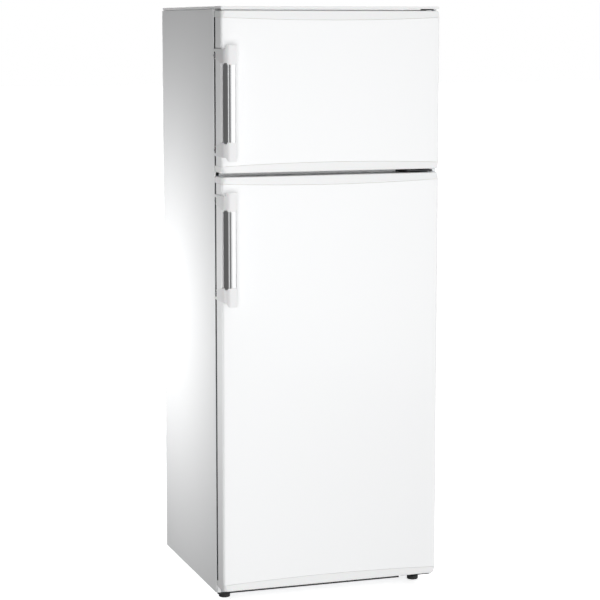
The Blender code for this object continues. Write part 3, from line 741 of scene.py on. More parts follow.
@dataclass
class Workshop:
    """Turns meshes into finished pieces on the frame's bodies."""

    made: list[str] = field(default_factory=list)

    def piece(
        self,
        name: str,
        shape: bmesh.types.BMesh,
        finish: Finish,
        body: str,
        replaces: Sequence[str] = (),
        bevel: float = 0.0,
        sharp: float = 32.0,
    ) -> bpy.types.Object:
        """Make one piece.

        Args:
            name: The piece's name.
            shape: Its mesh, in the frame's metres; it is used up.
            finish: Its finish.
            body: The body that it rides on.
            replaces: The CAD nodes that it stands for.
            bevel: Width of the rounding on its sharp edges.
            sharp: Edges sharper than this many degrees stay crisp.

        Returns:
            The piece's object.
        """
        bmesh.ops.remove_doubles(shape, verts=shape.verts, dist=1e-7)
        bmesh.ops.dissolve_degenerate(shape, edges=shape.edges, dist=1e-7)
        bmesh.ops.recalc_face_normals(shape, faces=shape.faces)
        mesh = bpy.data.meshes.new(name)
        shape.to_mesh(mesh)
        shape.free()
        mesh.shade_smooth()
        mesh.set_sharp_from_angle(angle=math.radians(sharp))
        made = bpy.data.objects.new(name, mesh)
        bpy.context.scene.collection.objects.link(made)
        mesh.materials.append(finish.material())
        if bevel:
            self.soften(made, bevel)
        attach(made, body)
        if replaces:
            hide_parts(*replaces)
        self.made.append(name)
        LOG.info("%s rides on %s", name, body)
        return made

    def soften(self, item: bpy.types.Object, width: float) -> None:
        """Round an object's sharp edges by width with a Bevel modifier.

        Args:
            item: The object.
            width: The width of the rounding.
        """
        step = item.modifiers.new("soften", "BEVEL")
        step.width = width
        step.segments = 2
        step.limit_method = "ANGLE"
        step.angle_limit = math.radians(35)
        step.harden_normals = True

    def dress(self, frame: dict[str, Any], node: str, finish: Finish, bevel: float = 0.0) -> None:
        """Give a carried-over CAD node its finish and softened edges.

        Args:
            frame: The loaded frame.
            node: The CAD node's name.
            finish: The finish.
            bevel: Width of the rounding on its sharp edges, or 0.
        """
        item = frame["nodes"][node]
        if not item.material_slots:
            item.data.materials.append(None)
        for holder in item.material_slots:
            holder.material = finish.material()
        item.data.shade_smooth()
        item.data.set_sharp_from_angle(angle=math.radians(32))
        if bevel:
            self.soften(item, bevel)
        LOG.info("%s dressed in %s", node, finish.name)


def spans(node: str) -> tuple[Span, Span, Span]:
    """Return a CAD node's X, Y and Z spans at rest."""
    low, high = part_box(node)
    return (low.x, high.x), (low.y, high.y), (low.z, high.z)


def middle(span: Span) -> float:
    """Return the middle of a span."""
    return (span[0] + span[1]) / 2


# ------------------------------------------------------------------ cabinet


@dataclass
class Cabinet:
    """The cabinet's wrap, top, liners and rail."""

    shop: Workshop
    frame: dict[str, Any]
    roll: float = 0.0045
    sheet: float = 0.0008
    lip: float = 0.0115
    shoulder: float = 0.003
    liner_wall: float = 0.0015
    liner_corner: float = 0.014
    mouth_roll: float = 0.004
    hump_lean: float = 0.030
    rear_ease: tuple[Flat, ...] = ((0.0, 0.006), (0.0018, 0.0018), (0.006, 0.0))

    def build(self) -> None:
        """Make every cabinet piece."""
        self.shell()
        self.top()
        self.under_door_shade()
        self.liner("freezer_liner", self.freezer_rings())
        self.liner("fridge_liner", self.fridge_rings())
        self.ledges()
        for node, finish, bevel in (
            ("mullion_rail", DOOR_WHITE, 0.0004),
            ("cabinet_foam", FOAM, 0.0),
            ("base_pan", ZINC, 0.0004),
        ):
            self.shop.dress(self.frame, node, finish, bevel)

    def wrap_section(self, y: Span) -> list[Flat]:
        """Return the folded sheet's section as (inset, depth): the flat, the rolled front and its lip.

        Args:
            y: The cabinet's Y span.

        Returns:
            The folded sheet's section as (inset, depth).
        """
        outer = [(0.0, y[1])]
        inner = [(self.sheet, y[1])]
        for k in range(7):
            angle = math.pi / 2 * k / 6
            outer.append((self.roll * (1 - math.cos(angle)), y[0] + self.roll * (1 - math.sin(angle))))
            inside = self.roll - self.sheet
            inner.append((self.roll - inside * math.cos(angle), y[0] + self.roll - inside * math.sin(angle)))
        outer.append((self.lip, y[0]))
        inner.append((self.lip, y[0] + self.sheet))
        return outer + inner[::-1]

    def shell(self) -> None:
        """Sweep the folded section up one side, over the top and down the other side."""
        x, y, z = spans("cabinet_shell")
        section = self.wrap_section(y)
        stations = [(0, 0.0), *((0, k / 5) for k in range(6)), *((1, k / 5) for k in range(6)), (2, 0.0)]
        rings = []
        for number, (side, share) in enumerate(stations):
            ring = []
            for inset, depth in section:
                radius = max(self.shoulder - inset, 0.0)
                left, right, top = x[0] + inset, x[1] - inset, z[1] - inset
                angle = math.pi / 2 * share
                if number == 0:
                    spot = (left, z[0])
                elif side == 0:
                    spot = (left + radius * (1 - math.cos(angle)), top - radius * (1 - math.sin(angle)))
                elif side == 1:
                    spot = (right - radius * (1 - math.sin(angle)), top - radius * (1 - math.cos(angle)))
                else:
                    spot = (right, z[0])
                ring.append((spot[0], depth, spot[1]))
            rings.append(ring)
        self.shop.piece("cabinet_wrap", loft(rings), CABINET_WHITE, "cabinet", ("cabinet_shell",))

    def top(self) -> None:
        """The thin top panel with soft corners and edges."""
        x, y, z = spans("top_panel")
        shape = slab(x, y, z, 0.006, 0.0022, steps=5, arc=8)
        self.shop.piece("top_cover", shape, CAP_WHITE, "cabinet", ("top_panel",))
        door_top = spans("freezer_door_top_cap")[2][1]
        across = (x[0] + 0.0015, spans("top_hinge")[0][0] + 0.022)
        nosing = slab(across, (y[0] + 0.002, y[0] + 0.006), (door_top + 0.0015, z[0] + 0.002), 0.0012, 0.0006)
        self.shop.piece("top_cover_nosing", nosing, CAP_WHITE, "cabinet")

    def under_door_shade(self) -> None:
        """A black strip under the front edge of the base: painted shadow of the gap under the door's lower
        edge.
        """
        x, y, z = spans("cabinet_shell")
        across = (x[0] + 0.003, spans("bottom_hinge")[0][0] - 0.002)
        strip = slab(across, (y[0] - 0.002, y[0] + 0.003), (z[0] - 0.0036, z[0] - 0.0003), 0.0010, 0.0005)
        self.shop.piece("front_sill", strip, BLACK_MOULDING, "cabinet")

    def flange(self, node: str) -> tuple[Span, Span, float, float]:
        """Return the flange's X and Z spans inside the wrap's lip, its face and the deepest point.

        Args:
            node: The CAD node's name.

        Returns:
            The flange's X and Z spans inside the wrap's lip, its face and the deepest point.
        """
        _, y, z = spans(node)
        wrap_x, _, wrap_z = spans("cabinet_shell")
        across = shrink(wrap_x, self.lip - 0.0005)
        upright = (z[0], min(z[1], wrap_z[1] - self.lip + 0.0005))
        return across, upright, y[0], y[1]

    def mouth(self, x: Span, z: Span, face: float) -> list[Ring]:
        """Return the rings that roll from the flange's face into the compartment.

        Args:
            x: The X span.
            z: The Z span.
            face: The flange's face in Y.

        Returns:
            The rings that roll from the flange's face into the compartment.
        """
        roll, radius = self.mouth_roll, self.liner_corner
        rows = [(-roll * out, radius + roll * out, face + roll * deep) for out, deep in quarter(5)]
        return nested(x, z, rows, Axis.Y)

    def flange_rings(self, node: str) -> list[Ring]:
        """Return the flange's back and front outline.

        Args:
            node: The CAD node's name.

        Returns:
            The flange's back and front outline.
        """
        across, upright, face, _ = self.flange(node)
        outline = rounded(across, upright, 0.001)
        return [raised(outline, face + self.liner_wall, Axis.Y), raised(outline, face, Axis.Y)]

    def freezer_rings(self) -> list[Ring]:
        """Return the freezer liner's rings, flange first and rear wall last.

        Returns:
            The freezer liner's rings, flange first and rear wall last.
        """
        across, _, face, back = self.flange("freezer_liner")
        half = self.compartment_half("freezer_shelf")
        x = (middle(across) - half, middle(across) + half)
        z = self.compartment_z("freezer_liner")
        wall, radius = self.liner_wall, self.liner_corner
        outer = ((-wall, radius + wall, back), (-wall, radius + wall, face + wall))
        inner = [(inset, radius, back - wall - rise) for inset, rise in self.rear_ease]
        return [
            *nested(x, z, outer, Axis.Y),
            *self.flange_rings("freezer_liner"),
            *self.mouth(x, z, face),
            *nested(x, z, inner, Axis.Y),
        ]

    def compartment_half(self, shelf: str) -> float:
        """Return half the compartment's width, from the shelf that spans it."""
        x, _, _ = spans(shelf)
        return (x[1] - x[0]) / 2 + 0.0005

    def compartment_z(self, node: str) -> Span:
        """Return the compartment's Z span, from the record's openings or from what stands in it.

        Args:
            node: The CAD node's name.

        Returns:
            The compartment's Z span, from the record's openings or from what stands in it.
        """
        if node == "freezer_liner":
            boxes = {item["name"]: item["box_m"] for item in self.frame["record"]["physics"]["openings"]}
            return (boxes["freezer_lower"][0][2] - 0.004, boxes["freezer_upper"][1][2] + 0.004)
        _, _, drawer_z = spans("crisper_drawer")
        _, _, housing_z = spans("control_housing")
        return (drawer_z[0] - 0.0045, housing_z[1] + 0.0003)

    def fridge_rings(self) -> list[Ring]:
        """Return the fresh-food liner's rings, with the hump over the compressor bay.

        Returns:
            The fresh-food liner's rings, with the hump over the compressor bay.
        """
        across, _, face, back = self.flange("fridge_liner")
        half = self.compartment_half("glass_shelf_1")
        x = (middle(across) - half, middle(across) + half)
        z = self.compartment_z("fridge_liner")
        wall, radius = self.liner_wall, self.liner_corner
        hump_front = spans("crisper_drawer")[1][1] + 0.004
        hump_back = hump_front + self.hump_lean
        upper = (spans("crisper_cover")[2][0] - 0.035, z[1])

        def wrap(z_span: Span, *rows: Flat) -> list[Ring]:
            """Return rounded sections, one for each growth outwards and depth."""
            return nested(x, z_span, [(-grow, radius + grow, depth) for grow, depth in rows], Axis.Y)

        return [
            *wrap(upper, (wall, back), (wall, hump_back + wall)),
            *wrap(z, (wall, hump_front + wall), (wall, face + wall)),
            *self.flange_rings("fridge_liner"),
            *self.mouth(x, z, face),
            *wrap(z, (0.0, hump_front)),
            *wrap(upper, (0.0, hump_back)),
            *wrap(upper, *((-inset, back - wall - rise) for inset, rise in self.rear_ease)),
        ]

    def liner(self, node: str, rings: list[Ring]) -> None:
        """Make one moulded liner."""
        self.shop.piece(f"{node}_moulding", loft(rings), LINER_WHITE, "cabinet", (node,), sharp=40)

    def ledges(self) -> None:
        """The ribs moulded on the liners' sides that carry the shelves."""
        shapes = []
        for node in ("glass_shelf_1", "glass_shelf_2", "glass_shelf_3", "crisper_cover", "freezer_shelf"):
            x, y, z = spans(node)
            for side in (0, 1):
                edge = x[side]
                inner = edge + 0.008 if side == 0 else edge - 0.008
                u = (min(edge, inner), max(edge, inner))
                for low, high in ((z[0] - 0.0085, z[0] - 0.0004), (z[1] + 0.0012, z[1] + 0.0072)):
                    length = (y[0] + 0.012, y[1] - 0.004)
                    shapes.append(slab(u, length, (low, high), 0.003, 0.0022))
        self.shop.piece("shelf_ledges", merged(shapes), LINER_WHITE, "cabinet")


# ------------------------------------------------------------------ doors


@dataclass
class Door:
    """One door: skin, end caps, liner, seal, bins and handle."""

    shop: Workshop
    frame: dict[str, Any]
    name: str
    bins: tuple[str, ...]
    rib_inset: float = 0.040
    rib_half: float = 0.215
    rib_width: float = 0.016
    corner: float = 0.006
    cap_corner: float = 0.013
    gap: float = 0.0003
    # X span of the dark strip at the door's open edge, which is painted shade; the seal is widened out to it.
    strip: Span = (0.0010, 0.0034)

    def __post_init__(self) -> None:
        """Read the door's place from the frame."""
        self.body = f"{self.name}_door"
        self.x, self.y, self.z = spans(f"{self.name}_door_skin")
        _, cap_y, self.top_z = spans(f"{self.name}_door_top_cap")
        _, _, self.bottom_z = spans(f"{self.name}_door_bottom_cap")
        self.cap_back = cap_y[1]
        self.cap_side = self.top_z[1] - self.z[1]
        self.cap_middle = self.top_z[1] - self.top_z[0] + self.gap

    def build(self) -> None:
        """Make every piece of the door."""
        self.skin()
        self.cap(End.UPPER)
        self.cap(End.LOWER)
        self.liner()
        self.seal()
        self.gap_shade_strip()
        for node in self.bins:
            self.bin(node)
        self.shop.dress(self.frame, f"{self.name}_door_foam", FOAM)
        Handle(self.shop, self.frame, self.name, boss=0.0022 if self.name == "fridge" else 0.0).build()

    def outline(self, inset: float, back: float, radius: float, lip: float = 0.0) -> list[Flat]:
        """Return the door's plan from its rear left edge, round the front, to its rear right edge.

        Args:
            inset: How far inside the skin the outline runs.
            back: Depth of its rear ends.
            radius: Radius of the two front corners.
            lip: Length of the rear returns, or 0 for none.

        Returns:
            The plan's points.
        """
        left, right, front = self.x[0] + inset, self.x[1] - inset, self.y[0] + inset
        radius = max(radius - inset, 0.0006)
        arc, runs = 9, 22
        run = right - left - 2 * radius
        points = [(left + lip, back)] if lip else []
        points.append((left, back))
        points += [(left + radius * over, front + radius * back_off) for back_off, over in quarter(arc)]
        for k in range(1, runs):
            points.append((left + radius + run * k / runs, front))
        points += [(right - radius * over, front + radius * back_off) for over, back_off in quarter(arc)]
        points.append((right, back))
        if lip:
            points.append((right - lip, back))
        return points

    def arch(self, x: float) -> float:
        """Return an end cap's height at x.

        Args:
            x: The place along the width.

        Returns:
            An end cap's height at x.
        """
        half = (self.x[1] - self.x[0]) / 2
        share = min(1.0, abs(x - middle(self.x)) / half)
        return self.cap_side + (self.cap_middle - self.cap_side) * (1 - share**2)

    def skin(self) -> None:
        """The painted sheet, folded round the sides, with arched upper and lower edges."""
        sheet = 0.0009
        outer = self.outline(0, self.y[1], self.corner, 0.012)
        inner = self.outline(sheet, self.y[1] - sheet, self.corner, 0.011)
        rings = []
        for (ox, oy), (ix, iy) in zip(outer, inner):
            low = self.bottom_z[0] + self.arch(ox)
            high = self.top_z[1] - self.arch(ox)
            rings.append([(ox, oy, low), (ox, oy, high), (ix, iy, high), (ix, iy, low)])
        node = f"{self.name}_door_skin"
        self.shop.piece(f"{self.name}_door_panel", loft(rings), DOOR_WHITE, self.body, (node,), 0.00035)

    def cap(self, end: End) -> None:
        """A moulded end cap with soft outer edges and corners that ease into the skin.

        Args:
            end: Which end is made.
        """
        toward = end.value
        level = self.top_z[1] if end is End.UPPER else self.bottom_z[0]
        edge, skirt, plate, steps = 0.0030, 0.0018, 0.0030, 5
        rings: list[Ring] = []
        for share, rise in quarter(steps):
            plan = self.outline(edge * share, self.cap_back - edge * share, self.cap_corner)
            rings.append([(x, y, level + toward * edge * rise) for x, y in plan])
        for share in (0.35, 0.7, 1.0):
            radius = self.cap_corner + (self.corner - self.cap_corner) * share
            plan = self.outline(0, self.cap_back, radius)
            ring = []
            for x, y in plan:
                reach = self.arch(x) - self.gap
                ring.append((x, y, level + toward * (edge + (reach - edge) * share)))
            rings.append(ring)
        inner = self.outline(skirt, self.cap_back - skirt, self.corner)
        rings.append([(x, y, level + toward * (self.arch(x) - self.gap)) for x, y in inner])
        rings.append([(x, y, level + toward * plate) for x, y in inner])
        side = "top" if end is End.UPPER else "bottom"
        node = f"{self.name}_door_{side}_cap"
        self.shop.piece(f"{node}_moulding", loft(rings), CAP_WHITE, self.body, (node,), 0.0003, 38)

    def liner(self) -> None:
        """The vacuum-formed inner panel: border, raised rib and recessed field."""
        node = f"{self.name}_door_liner"
        x, y, z = spans(node)
        near, far = y[0], y[0] + 0.003
        rib_out = shrink(x, x[1] - middle(x) - self.rib_half)
        rib_z = shrink(z, self.rib_inset)
        wide = self.rib_width
        foot, crown = 0.005, 0.006
        rings = nested(x, z, ((0.0, 0.010, near), (0.0, 0.010, far)), Axis.Y)
        turn = quarter(4)
        rows = [(-foot * out, 0.012 + foot * out, far + foot * rise) for out, rise in turn]
        rows += [(crown * inset, 0.014, y[1] - crown * drop) for drop, inset in turn]
        rows += [(wide - crown * inset, 0.014, y[1] - crown * drop) for drop, inset in reversed(turn)]
        rows += [(wide, 0.008, far + 0.003), (wide + 0.003, 0.006, far)]
        rings += nested(rib_out, rib_z, rows, Axis.Y)
        self.shop.piece(f"{node}_moulding", loft(rings), LINER_WHITE, self.body, (node,), sharp=50)

    def seal(self) -> None:
        """The magnetic seal: a root, two bellows and the magnet pocket that meets the cabinet."""
        node = f"{self.name}_door_gasket"
        x, y, z = spans(node)
        # The seal is widened out to the dark gap strip so that the gap beside the door reads dark: painted
        # shade.
        x = (self.x[0] + self.strip[1], x[1])
        deep = y[1] - y[0]
        profile = (
            (0.0030, 0.00), (0.0008, 0.10), (0.0008, 0.20), (0.0034, 0.28), (0.0034, 0.34),
            (0.0006, 0.42), (0.0006, 0.52), (0.0030, 0.60), (0.0000, 0.68), (0.0000, 0.94),
            (0.0012, 1.00), (0.0115, 1.00), (0.0135, 0.92), (0.0135, 0.70), (0.0100, 0.60),
            (0.0125, 0.48), (0.0100, 0.34), (0.0120, 0.20), (0.0105, 0.00),
        )
        rows = [(inset, 0.018 - inset, y[0] + deep * share) for inset, share in profile]
        shape = loft(nested(x, z, rows, Axis.Y, 8), closed=True)
        self.shop.piece(f"{node}_bellows", shape, SEAL_GREY, self.body, (node,), sharp=60)

    def gap_shade_strip(self) -> None:
        """A dark strip along the door's open side, with a dark pad behind each end cap: painted shade that
        keeps the gap between door and cabinet dark.
        """
        seal_back = spans(f"{self.name}_door_gasket")[1][1]
        face = seal_back - self.gap
        x = (self.x[0] + self.strip[0], self.x[0] + self.strip[1])
        upright = shrink(self.z, -0.004)
        shapes = [slab(x, (self.y[1] + self.gap, face), upright, 0.0010, 0.0006)]
        for low in (self.bottom_z[0] + 0.0015, self.top_z[1] - 0.0190):
            pad = (self.cap_back - 0.001, face)
            shapes.append(slab((x[0], x[1] + 0.0080), pad, (low, low + 0.0175), 0.0015, 0.0010))
        self.shop.piece(f"{self.name}_door_edge_strip", merged(shapes), SEAL_GREY, self.body)

    def bin(self, node: str) -> None:
        """A clear bin with a thick rolled rim and a front rail.

        Args:
            node: The CAD node's name.
        """
        x, y, z = spans(node)
        wall, radius, roll = 0.0020, 0.012, 0.0022
        low, high = z
        rings = nested(x, y, (
            (0.004, radius, low), (0.001, radius, low + 0.003), (0.0008, radius, high - 0.010),
            (0.0008, radius, high - 0.0085), (0.0, radius, high - 0.0075), (0.0, radius, high - 0.0015),
            (0.0008, radius, high), (roll, radius - roll, high), (wall + 0.001, radius - wall, high - 0.002),
            (wall + 0.001, radius - wall, low + 0.006), (wall + 0.004, radius - wall, low + wall),
        ))
        self.shop.piece(f"{node}_tray", loft(rings), CLEAR_STYRENE, self.body, (node,), sharp=45)
        rail = slab(shrink(x, 0.010), (y[1] - 0.0035, y[1] + 0.0012), (z[1] - 0.030, z[1] - 0.012),
                    0.0015, 0.0012)
        self.shop.piece(f"{node}_rail", rail, TRIM_WHITE, self.body)


@dataclass
class Handle:
    """A door's handle: two moulded brackets, their screws and the drawn metal bar."""

    shop: Workshop
    frame: dict[str, Any]
    name: str
    wall: float = 0.0028
    turn: Flat = (0.0120, 0.0160)
    step: float = 0.009
    flute: tuple[Flat, ...] = ((0.0078, 0.0008), (0.0096, 0.0015), (0.0102, 0.0015), (0.0132, 0.0002),
                               (0.0146, 0.0))
    tail: float = 0.023
    boss: float = 0.0

    def build(self) -> None:
        """Make the brackets, the bar and the screws."""
        self.body = f"{self.name}_door"
        self.bar_x, self.bar_y, self.bar_z = spans(f"{self.name}_handle_bar")
        self.skin_x, self.skin_y, _ = spans(f"{self.name}_door_skin")
        for end in End:
            self.bracket(end)
        self.bar()

    def plan(self, offset: float) -> list[Flat]:
        """Return the bracket's plan, offset outwards, from behind the door's side to its front.

        Args:
            offset: How far outside the middle line it runs.

        Returns:
            The bracket's plan, offset outwards, from behind the door's side to its front.
        """
        x, y, _ = spans(f"{self.name}_handle_bracket_upper")
        side = self.skin_x[0] - 0.0003 - self.wall / 2
        front = y[0] + self.wall / 2
        across, deep = self.turn
        points = [(side - offset, depth) for depth in (y[1], y[1] - 0.002, y[1] - 0.012, y[1] - 0.026)]
        points += [(side - offset, self.skin_y[0] + 0.006), (side - offset, self.skin_y[0] - 0.001)]
        centre = (side + across, front + deep)
        for k in range(17):
            angle = math.pi / 2 * k / 16
            points.append((centre[0] - (across + offset) * math.cos(angle),
                           centre[1] - (deep + offset) * math.sin(angle)))
        points += [(x[1] - 0.004, front - offset), (x[1], front - offset)]
        return points

    def bracket(self, end: End) -> None:
        """One bracket: side flange, swept arm, stepped front plate, the bar's socket and the screw, with a
        black oval round the screw head that is painted shade of its recess.

        Args:
            end: Which end is made.
        """
        side = end.name.lower()
        node = f"{self.name}_handle_bracket_{side}"
        _, _, z = spans(node)
        toward = end.value
        level = z[1] if end is End.UPPER else z[0]
        rim = (z[1] - z[0]) - self.step
        outer, inner = self.plan(self.wall / 2), self.plan(-self.wall / 2)
        step_at, step_over = (12.6, 1.0) if end is End.UPPER else (12.0, 8.0)
        rings = []
        for k, (first, second) in enumerate(zip(outer, inner)):
            sweep = min(1.0, max(0.0, (k - step_at) / step_over))
            ease = sweep * sweep * (3 - 2 * sweep)
            start = level + toward * self.step * (1 - ease)
            flare = min(1.0, max(0.0, (k - 1) / 6))
            reach = self.tail + (rim - self.tail) * (flare * flare * (3 - 2 * flare))
            if k < 2:
                start += toward * 0.003 * (2 - k) / 2
                reach -= 0.003 * (2 - k) / 2
            stop = level + toward * (self.step + reach)
            rings.append([(*first, start), (*first, stop), (*second, stop), (*second, start)])
        shapes = [loft(rings)]
        edge = level + toward * (z[1] - z[0])
        left, back = self.bar_x[0], self.bar_y[1]
        plug = [(left + 0.0018 + 0.93 * (u - left), back + 0.94 * (v - back)) for u, v in self.bar_outline()]
        shapes.append(loft([raised(plug, edge - toward * depth) for depth in (0.0003, 0.014)]))
        if self.boss and end is End.UPPER:
            spot = self.plan(0.0)[11]
            peg = ((self.boss, -0.0012), (self.boss, 0.0030), (self.boss * 0.7, 0.0036))
            shapes.append(turned(peg, (*spot, level + toward * self.step), steps=20))
        self.shop.piece(f"{node}_moulding", merged(shapes), HANDLE_WHITE, self.body, (node,), 0.0006, 40)
        screw = f"{self.name}_handle_screw_{side}"
        screw_x, screw_y, screw_z = spans(screw)
        at = (screw_x[0] + 0.0022, middle(screw_y), middle(screw_z))
        head = screw_head(at, Axis.X, -1, (screw_y[1] - screw_y[0]) / 2 - 0.0008)
        self.shop.piece(f"{screw}_head", head, SCREW_STEEL, self.body, (screw,))
        # Black oval round the screw head: painted shade of the screw's recess, not a real part.
        slot = slab((at[1] - 0.0050, at[1] + 0.0050), (at[2] - 0.0085, at[2] + 0.0085),
                    (at[0] - 0.0003, at[0] + 0.0006), 0.0049, 0.0002, Axis.X)
        self.shop.piece(f"{screw}_slot", slot, BLACK_MOULDING, self.body)

    def bar_outline(self) -> list[Flat]:
        """Return the bar's section, with a round left side, a flute, a crowned front and a round right edge.

        Returns:
            The bar's section.
        """
        width, depth = self.bar_x[1] - self.bar_x[0] - 0.0004, self.bar_y[1] - self.bar_y[0]
        round_x, round_y = 0.0110, 0.0140
        points = []
        for k in range(13):
            angle = math.radians(66) * k / 12
            points.append((round_x * (1 - math.cos(angle)), depth - round_y * (1 - math.sin(angle))))
        points += [(u, depth - dip) for u, dip in self.flute]
        edge = 0.0042
        points += [(width - edge - 0.0044, depth), (width - edge, depth - 0.0001)]
        for k in range(1, 9):
            angle = math.radians(90) * k / 8
            points.append((width - edge + edge * math.sin(angle), depth - edge * (1 - math.cos(angle))))
        for cx, start in ((width - edge, 0), (edge, 90)):
            for k in range(9):
                angle = math.radians(start + 90 * k / 8)
                points.append((cx + edge * math.cos(angle), edge - edge * math.sin(angle)))
        return [(self.bar_x[0] + 0.0004 + u, self.bar_y[1] - v) for u, v in points]

    def bar(self) -> None:
        """The drawn metal bar between the brackets."""
        outline = self.bar_outline()
        z = shrink(self.bar_z, -0.004)
        rings = [raised(outline, level) for level in (z[0], middle(z), z[1])]
        node = f"{self.name}_handle_bar"
        self.shop.piece(f"{node}_section", loft(rings), SATIN_BAR, self.body, (node,), sharp=24)


# ------------------------------------------------------------------ hinges, feet, rollers


@dataclass
class Fittings:
    """Hinges, feet and rollers."""

    shop: Workshop
    frame: dict[str, Any]
    bore: float = 0.0043
    pin: float = 0.0040

    def build(self) -> None:
        """Make the small hardware."""
        self.hinges()
        self.bushes()
        self.hinge_screws()
        for side in ("left", "right"):
            self.foot(f"front_foot_{side}")
            self.roller(f"rear_roller_{side}")

    def hinge_line(self) -> Flat:
        """Return the X and Y of the doors' common hinge line.

        Returns:
            The X and Y of the doors' common hinge line.
        """
        for joint in self.frame["joints"]:
            if joint["name"] == "fridge_door_hinge":
                return joint["pos_m"][0], joint["pos_m"][1]
        raise ValueError("the frame has no fridge_door_hinge")

    def hinges(self) -> None:
        """The three hinges: their arms' levels come from the doors' ends."""
        freezer_top = spans("freezer_door_top_cap")[2][1]
        freezer_low = spans("freezer_door_bottom_cap")[2][0]
        fridge_top = spans("fridge_door_top_cap")[2][1]
        fridge_low = spans("fridge_door_bottom_cap")[2][0]
        split = middle((freezer_low, fridge_top))
        top = spans("top_hinge")[2][1]
        self.hinge("top_hinge", (top - 0.0024, top), (top - 0.0024, top), (freezer_top - 0.009, top), 0.036)
        self.hinge("middle_hinge", (split - 0.002, split + 0.002), (split - 0.0034, split + 0.0034),
                   (fridge_top - 0.009, freezer_low + 0.009), 0.068)
        self.hinge("bottom_hinge", (fridge_low - 0.006, fridge_low - 0.003),
                   (fridge_low - 0.0062, fridge_low - 0.0012),
                   (fridge_low - 0.004, fridge_low + 0.009), 0.036)

    def hinge(self, node: str, arm: Span, eye: Span, pin: Span, lead: float) -> None:
        """One hinge: an upright flange, a tapered arm, the pin and a pale eye round it.

        Args:
            node: The CAD node that it stands for.
            arm: The arm's Z span.
            eye: The eye's Z span.
            pin: The pin's Z span.
            lead: How far the arm's front edge runs from the pin.
        """
        x, y, z = spans(node)
        hx, hy = self.hinge_line()
        back, right, radius = y[1], hx - 0.003, 0.0065
        shapes = [slab((x[0], right), z, (back - 0.002, back), 0.004, 0.0005, Axis.Y)]
        plan = [(x[0], back - 0.001), (x[0], back - 0.008), (hx - lead, hy - radius + 0.0008)]
        for k in range(11):
            angle = math.radians(-90 + 15 * k)
            plan.append((hx + radius * math.cos(angle), hy + radius * math.sin(angle)))
        plan += [(right, hy + 0.014), (right, back - 0.001)]
        shapes.append(loft([raised(plan, level) for level in arm]))
        shapes.append(turned([(0.0036, pin[0]), (self.pin, pin[0] + 0.0006), (self.pin, pin[1] - 0.0006),
                              (0.0036, pin[1])], (hx, hy, 0.0)))
        self.shop.piece(f"{node}_bracket", merged(shapes), HINGE_BLACK, "cabinet", (node,), 0.0004)
        profile = (
            (self.bore, eye[0]), (0.0066, eye[0]), (0.0070, eye[0] + 0.0004),
            (0.0070, eye[1] - 0.0004), (0.0066, eye[1]), (self.bore, eye[1]),
        )
        self.shop.piece(f"{node}_eye", turned(profile, (hx, hy, 0.0), closed=True), TRIM_WHITE, "cabinet")

    def bushes(self) -> None:
        """White nylon bushes round the pins, seated in the doors' end caps."""
        x, y = self.hinge_line()
        for name in ("freezer", "fridge"):
            for side, end in (("top", End.UPPER), ("bottom", End.LOWER)):
                cap = f"{name}_door_{side}_cap"
                z = spans(cap)[2]
                face, out = (z[1] if end is End.UPPER else z[0]), -end.value
                profile = ((self.bore, -0.004), (0.0068, -0.004), (0.0068, 0.0004), (0.0062, 0.0009),
                           (self.bore, 0.0009))
                bush = turned([(r, out * h) for r, h in profile], (x, y, face), closed=True)
                self.shop.piece(f"{cap}_bush", bush, TRIM_WHITE, f"{name}_door")

    def hinge_screws(self) -> None:
        """Two cross-head screws on each hinge's upright flange."""
        for node in ("top_hinge", "middle_hinge", "bottom_hinge"):
            x, y, z = spans(node)
            pins = {"top_hinge": (z[1] - 0.011), "middle_hinge": middle(z) + 0.012,
                    "bottom_hinge": z[0] + 0.026}
            level = pins[node]
            face = y[1] - 0.002
            shapes = []
            for share in (0.18, 0.62):
                at = (x[0] + (x[1] - x[0]) * share, face, level)
                shapes.append(screw_head(at, Axis.Y, -1, 0.0038))
            self.shop.piece(f"{node}_screws", merged(shapes), SCREW_STEEL, "cabinet")

    def foot(self, node: str) -> None:
        """A levelling foot: a gripped disc, a hexagon and a threaded stud.

        Args:
            node: The CAD node's name.
        """
        x, y, z = spans(node)
        at = (middle(x), middle(y), 0.0)
        radius = (x[1] - x[0]) / 2
        outline = ((0.90, 0.0), (0.99, 0.0008), (1.0, 0.002), (1.0, 0.0078), (0.97, 0.0092), (0.80, 0.0100))
        grip = Grip(6, 2, 0.035, (0.001, 0.0095))
        shapes = [turned([(radius * share, height) for share, height in outline], at, steps=72, grip=grip)]
        hexagon = [(at[0] + 0.0075 * math.cos(math.tau * k / 6), at[1] + 0.0075 * math.sin(math.tau * k / 6))
                   for k in range(6)]
        shapes.append(loft([raised(hexagon, h) for h in (0.0095, 0.0150)]))
        self.shop.piece(f"{node}_disc", merged(shapes), BLACK_MOULDING, node, (node,), 0.0003)
        thread = []
        pitch, crest, root_r = 0.00125, 0.0039, 0.0033
        count = int((z[1] - 0.015) / pitch)
        for k in range(count):
            base = 0.0148 + k * pitch
            thread += [(root_r, base), (crest, base + pitch * 0.4), (crest, base + pitch * 0.6)]
        thread.append((root_r, 0.0148 + count * pitch))
        self.shop.piece(f"{node}_stud", turned(thread, at, steps=24), SCREW_STEEL, node, sharp=80)

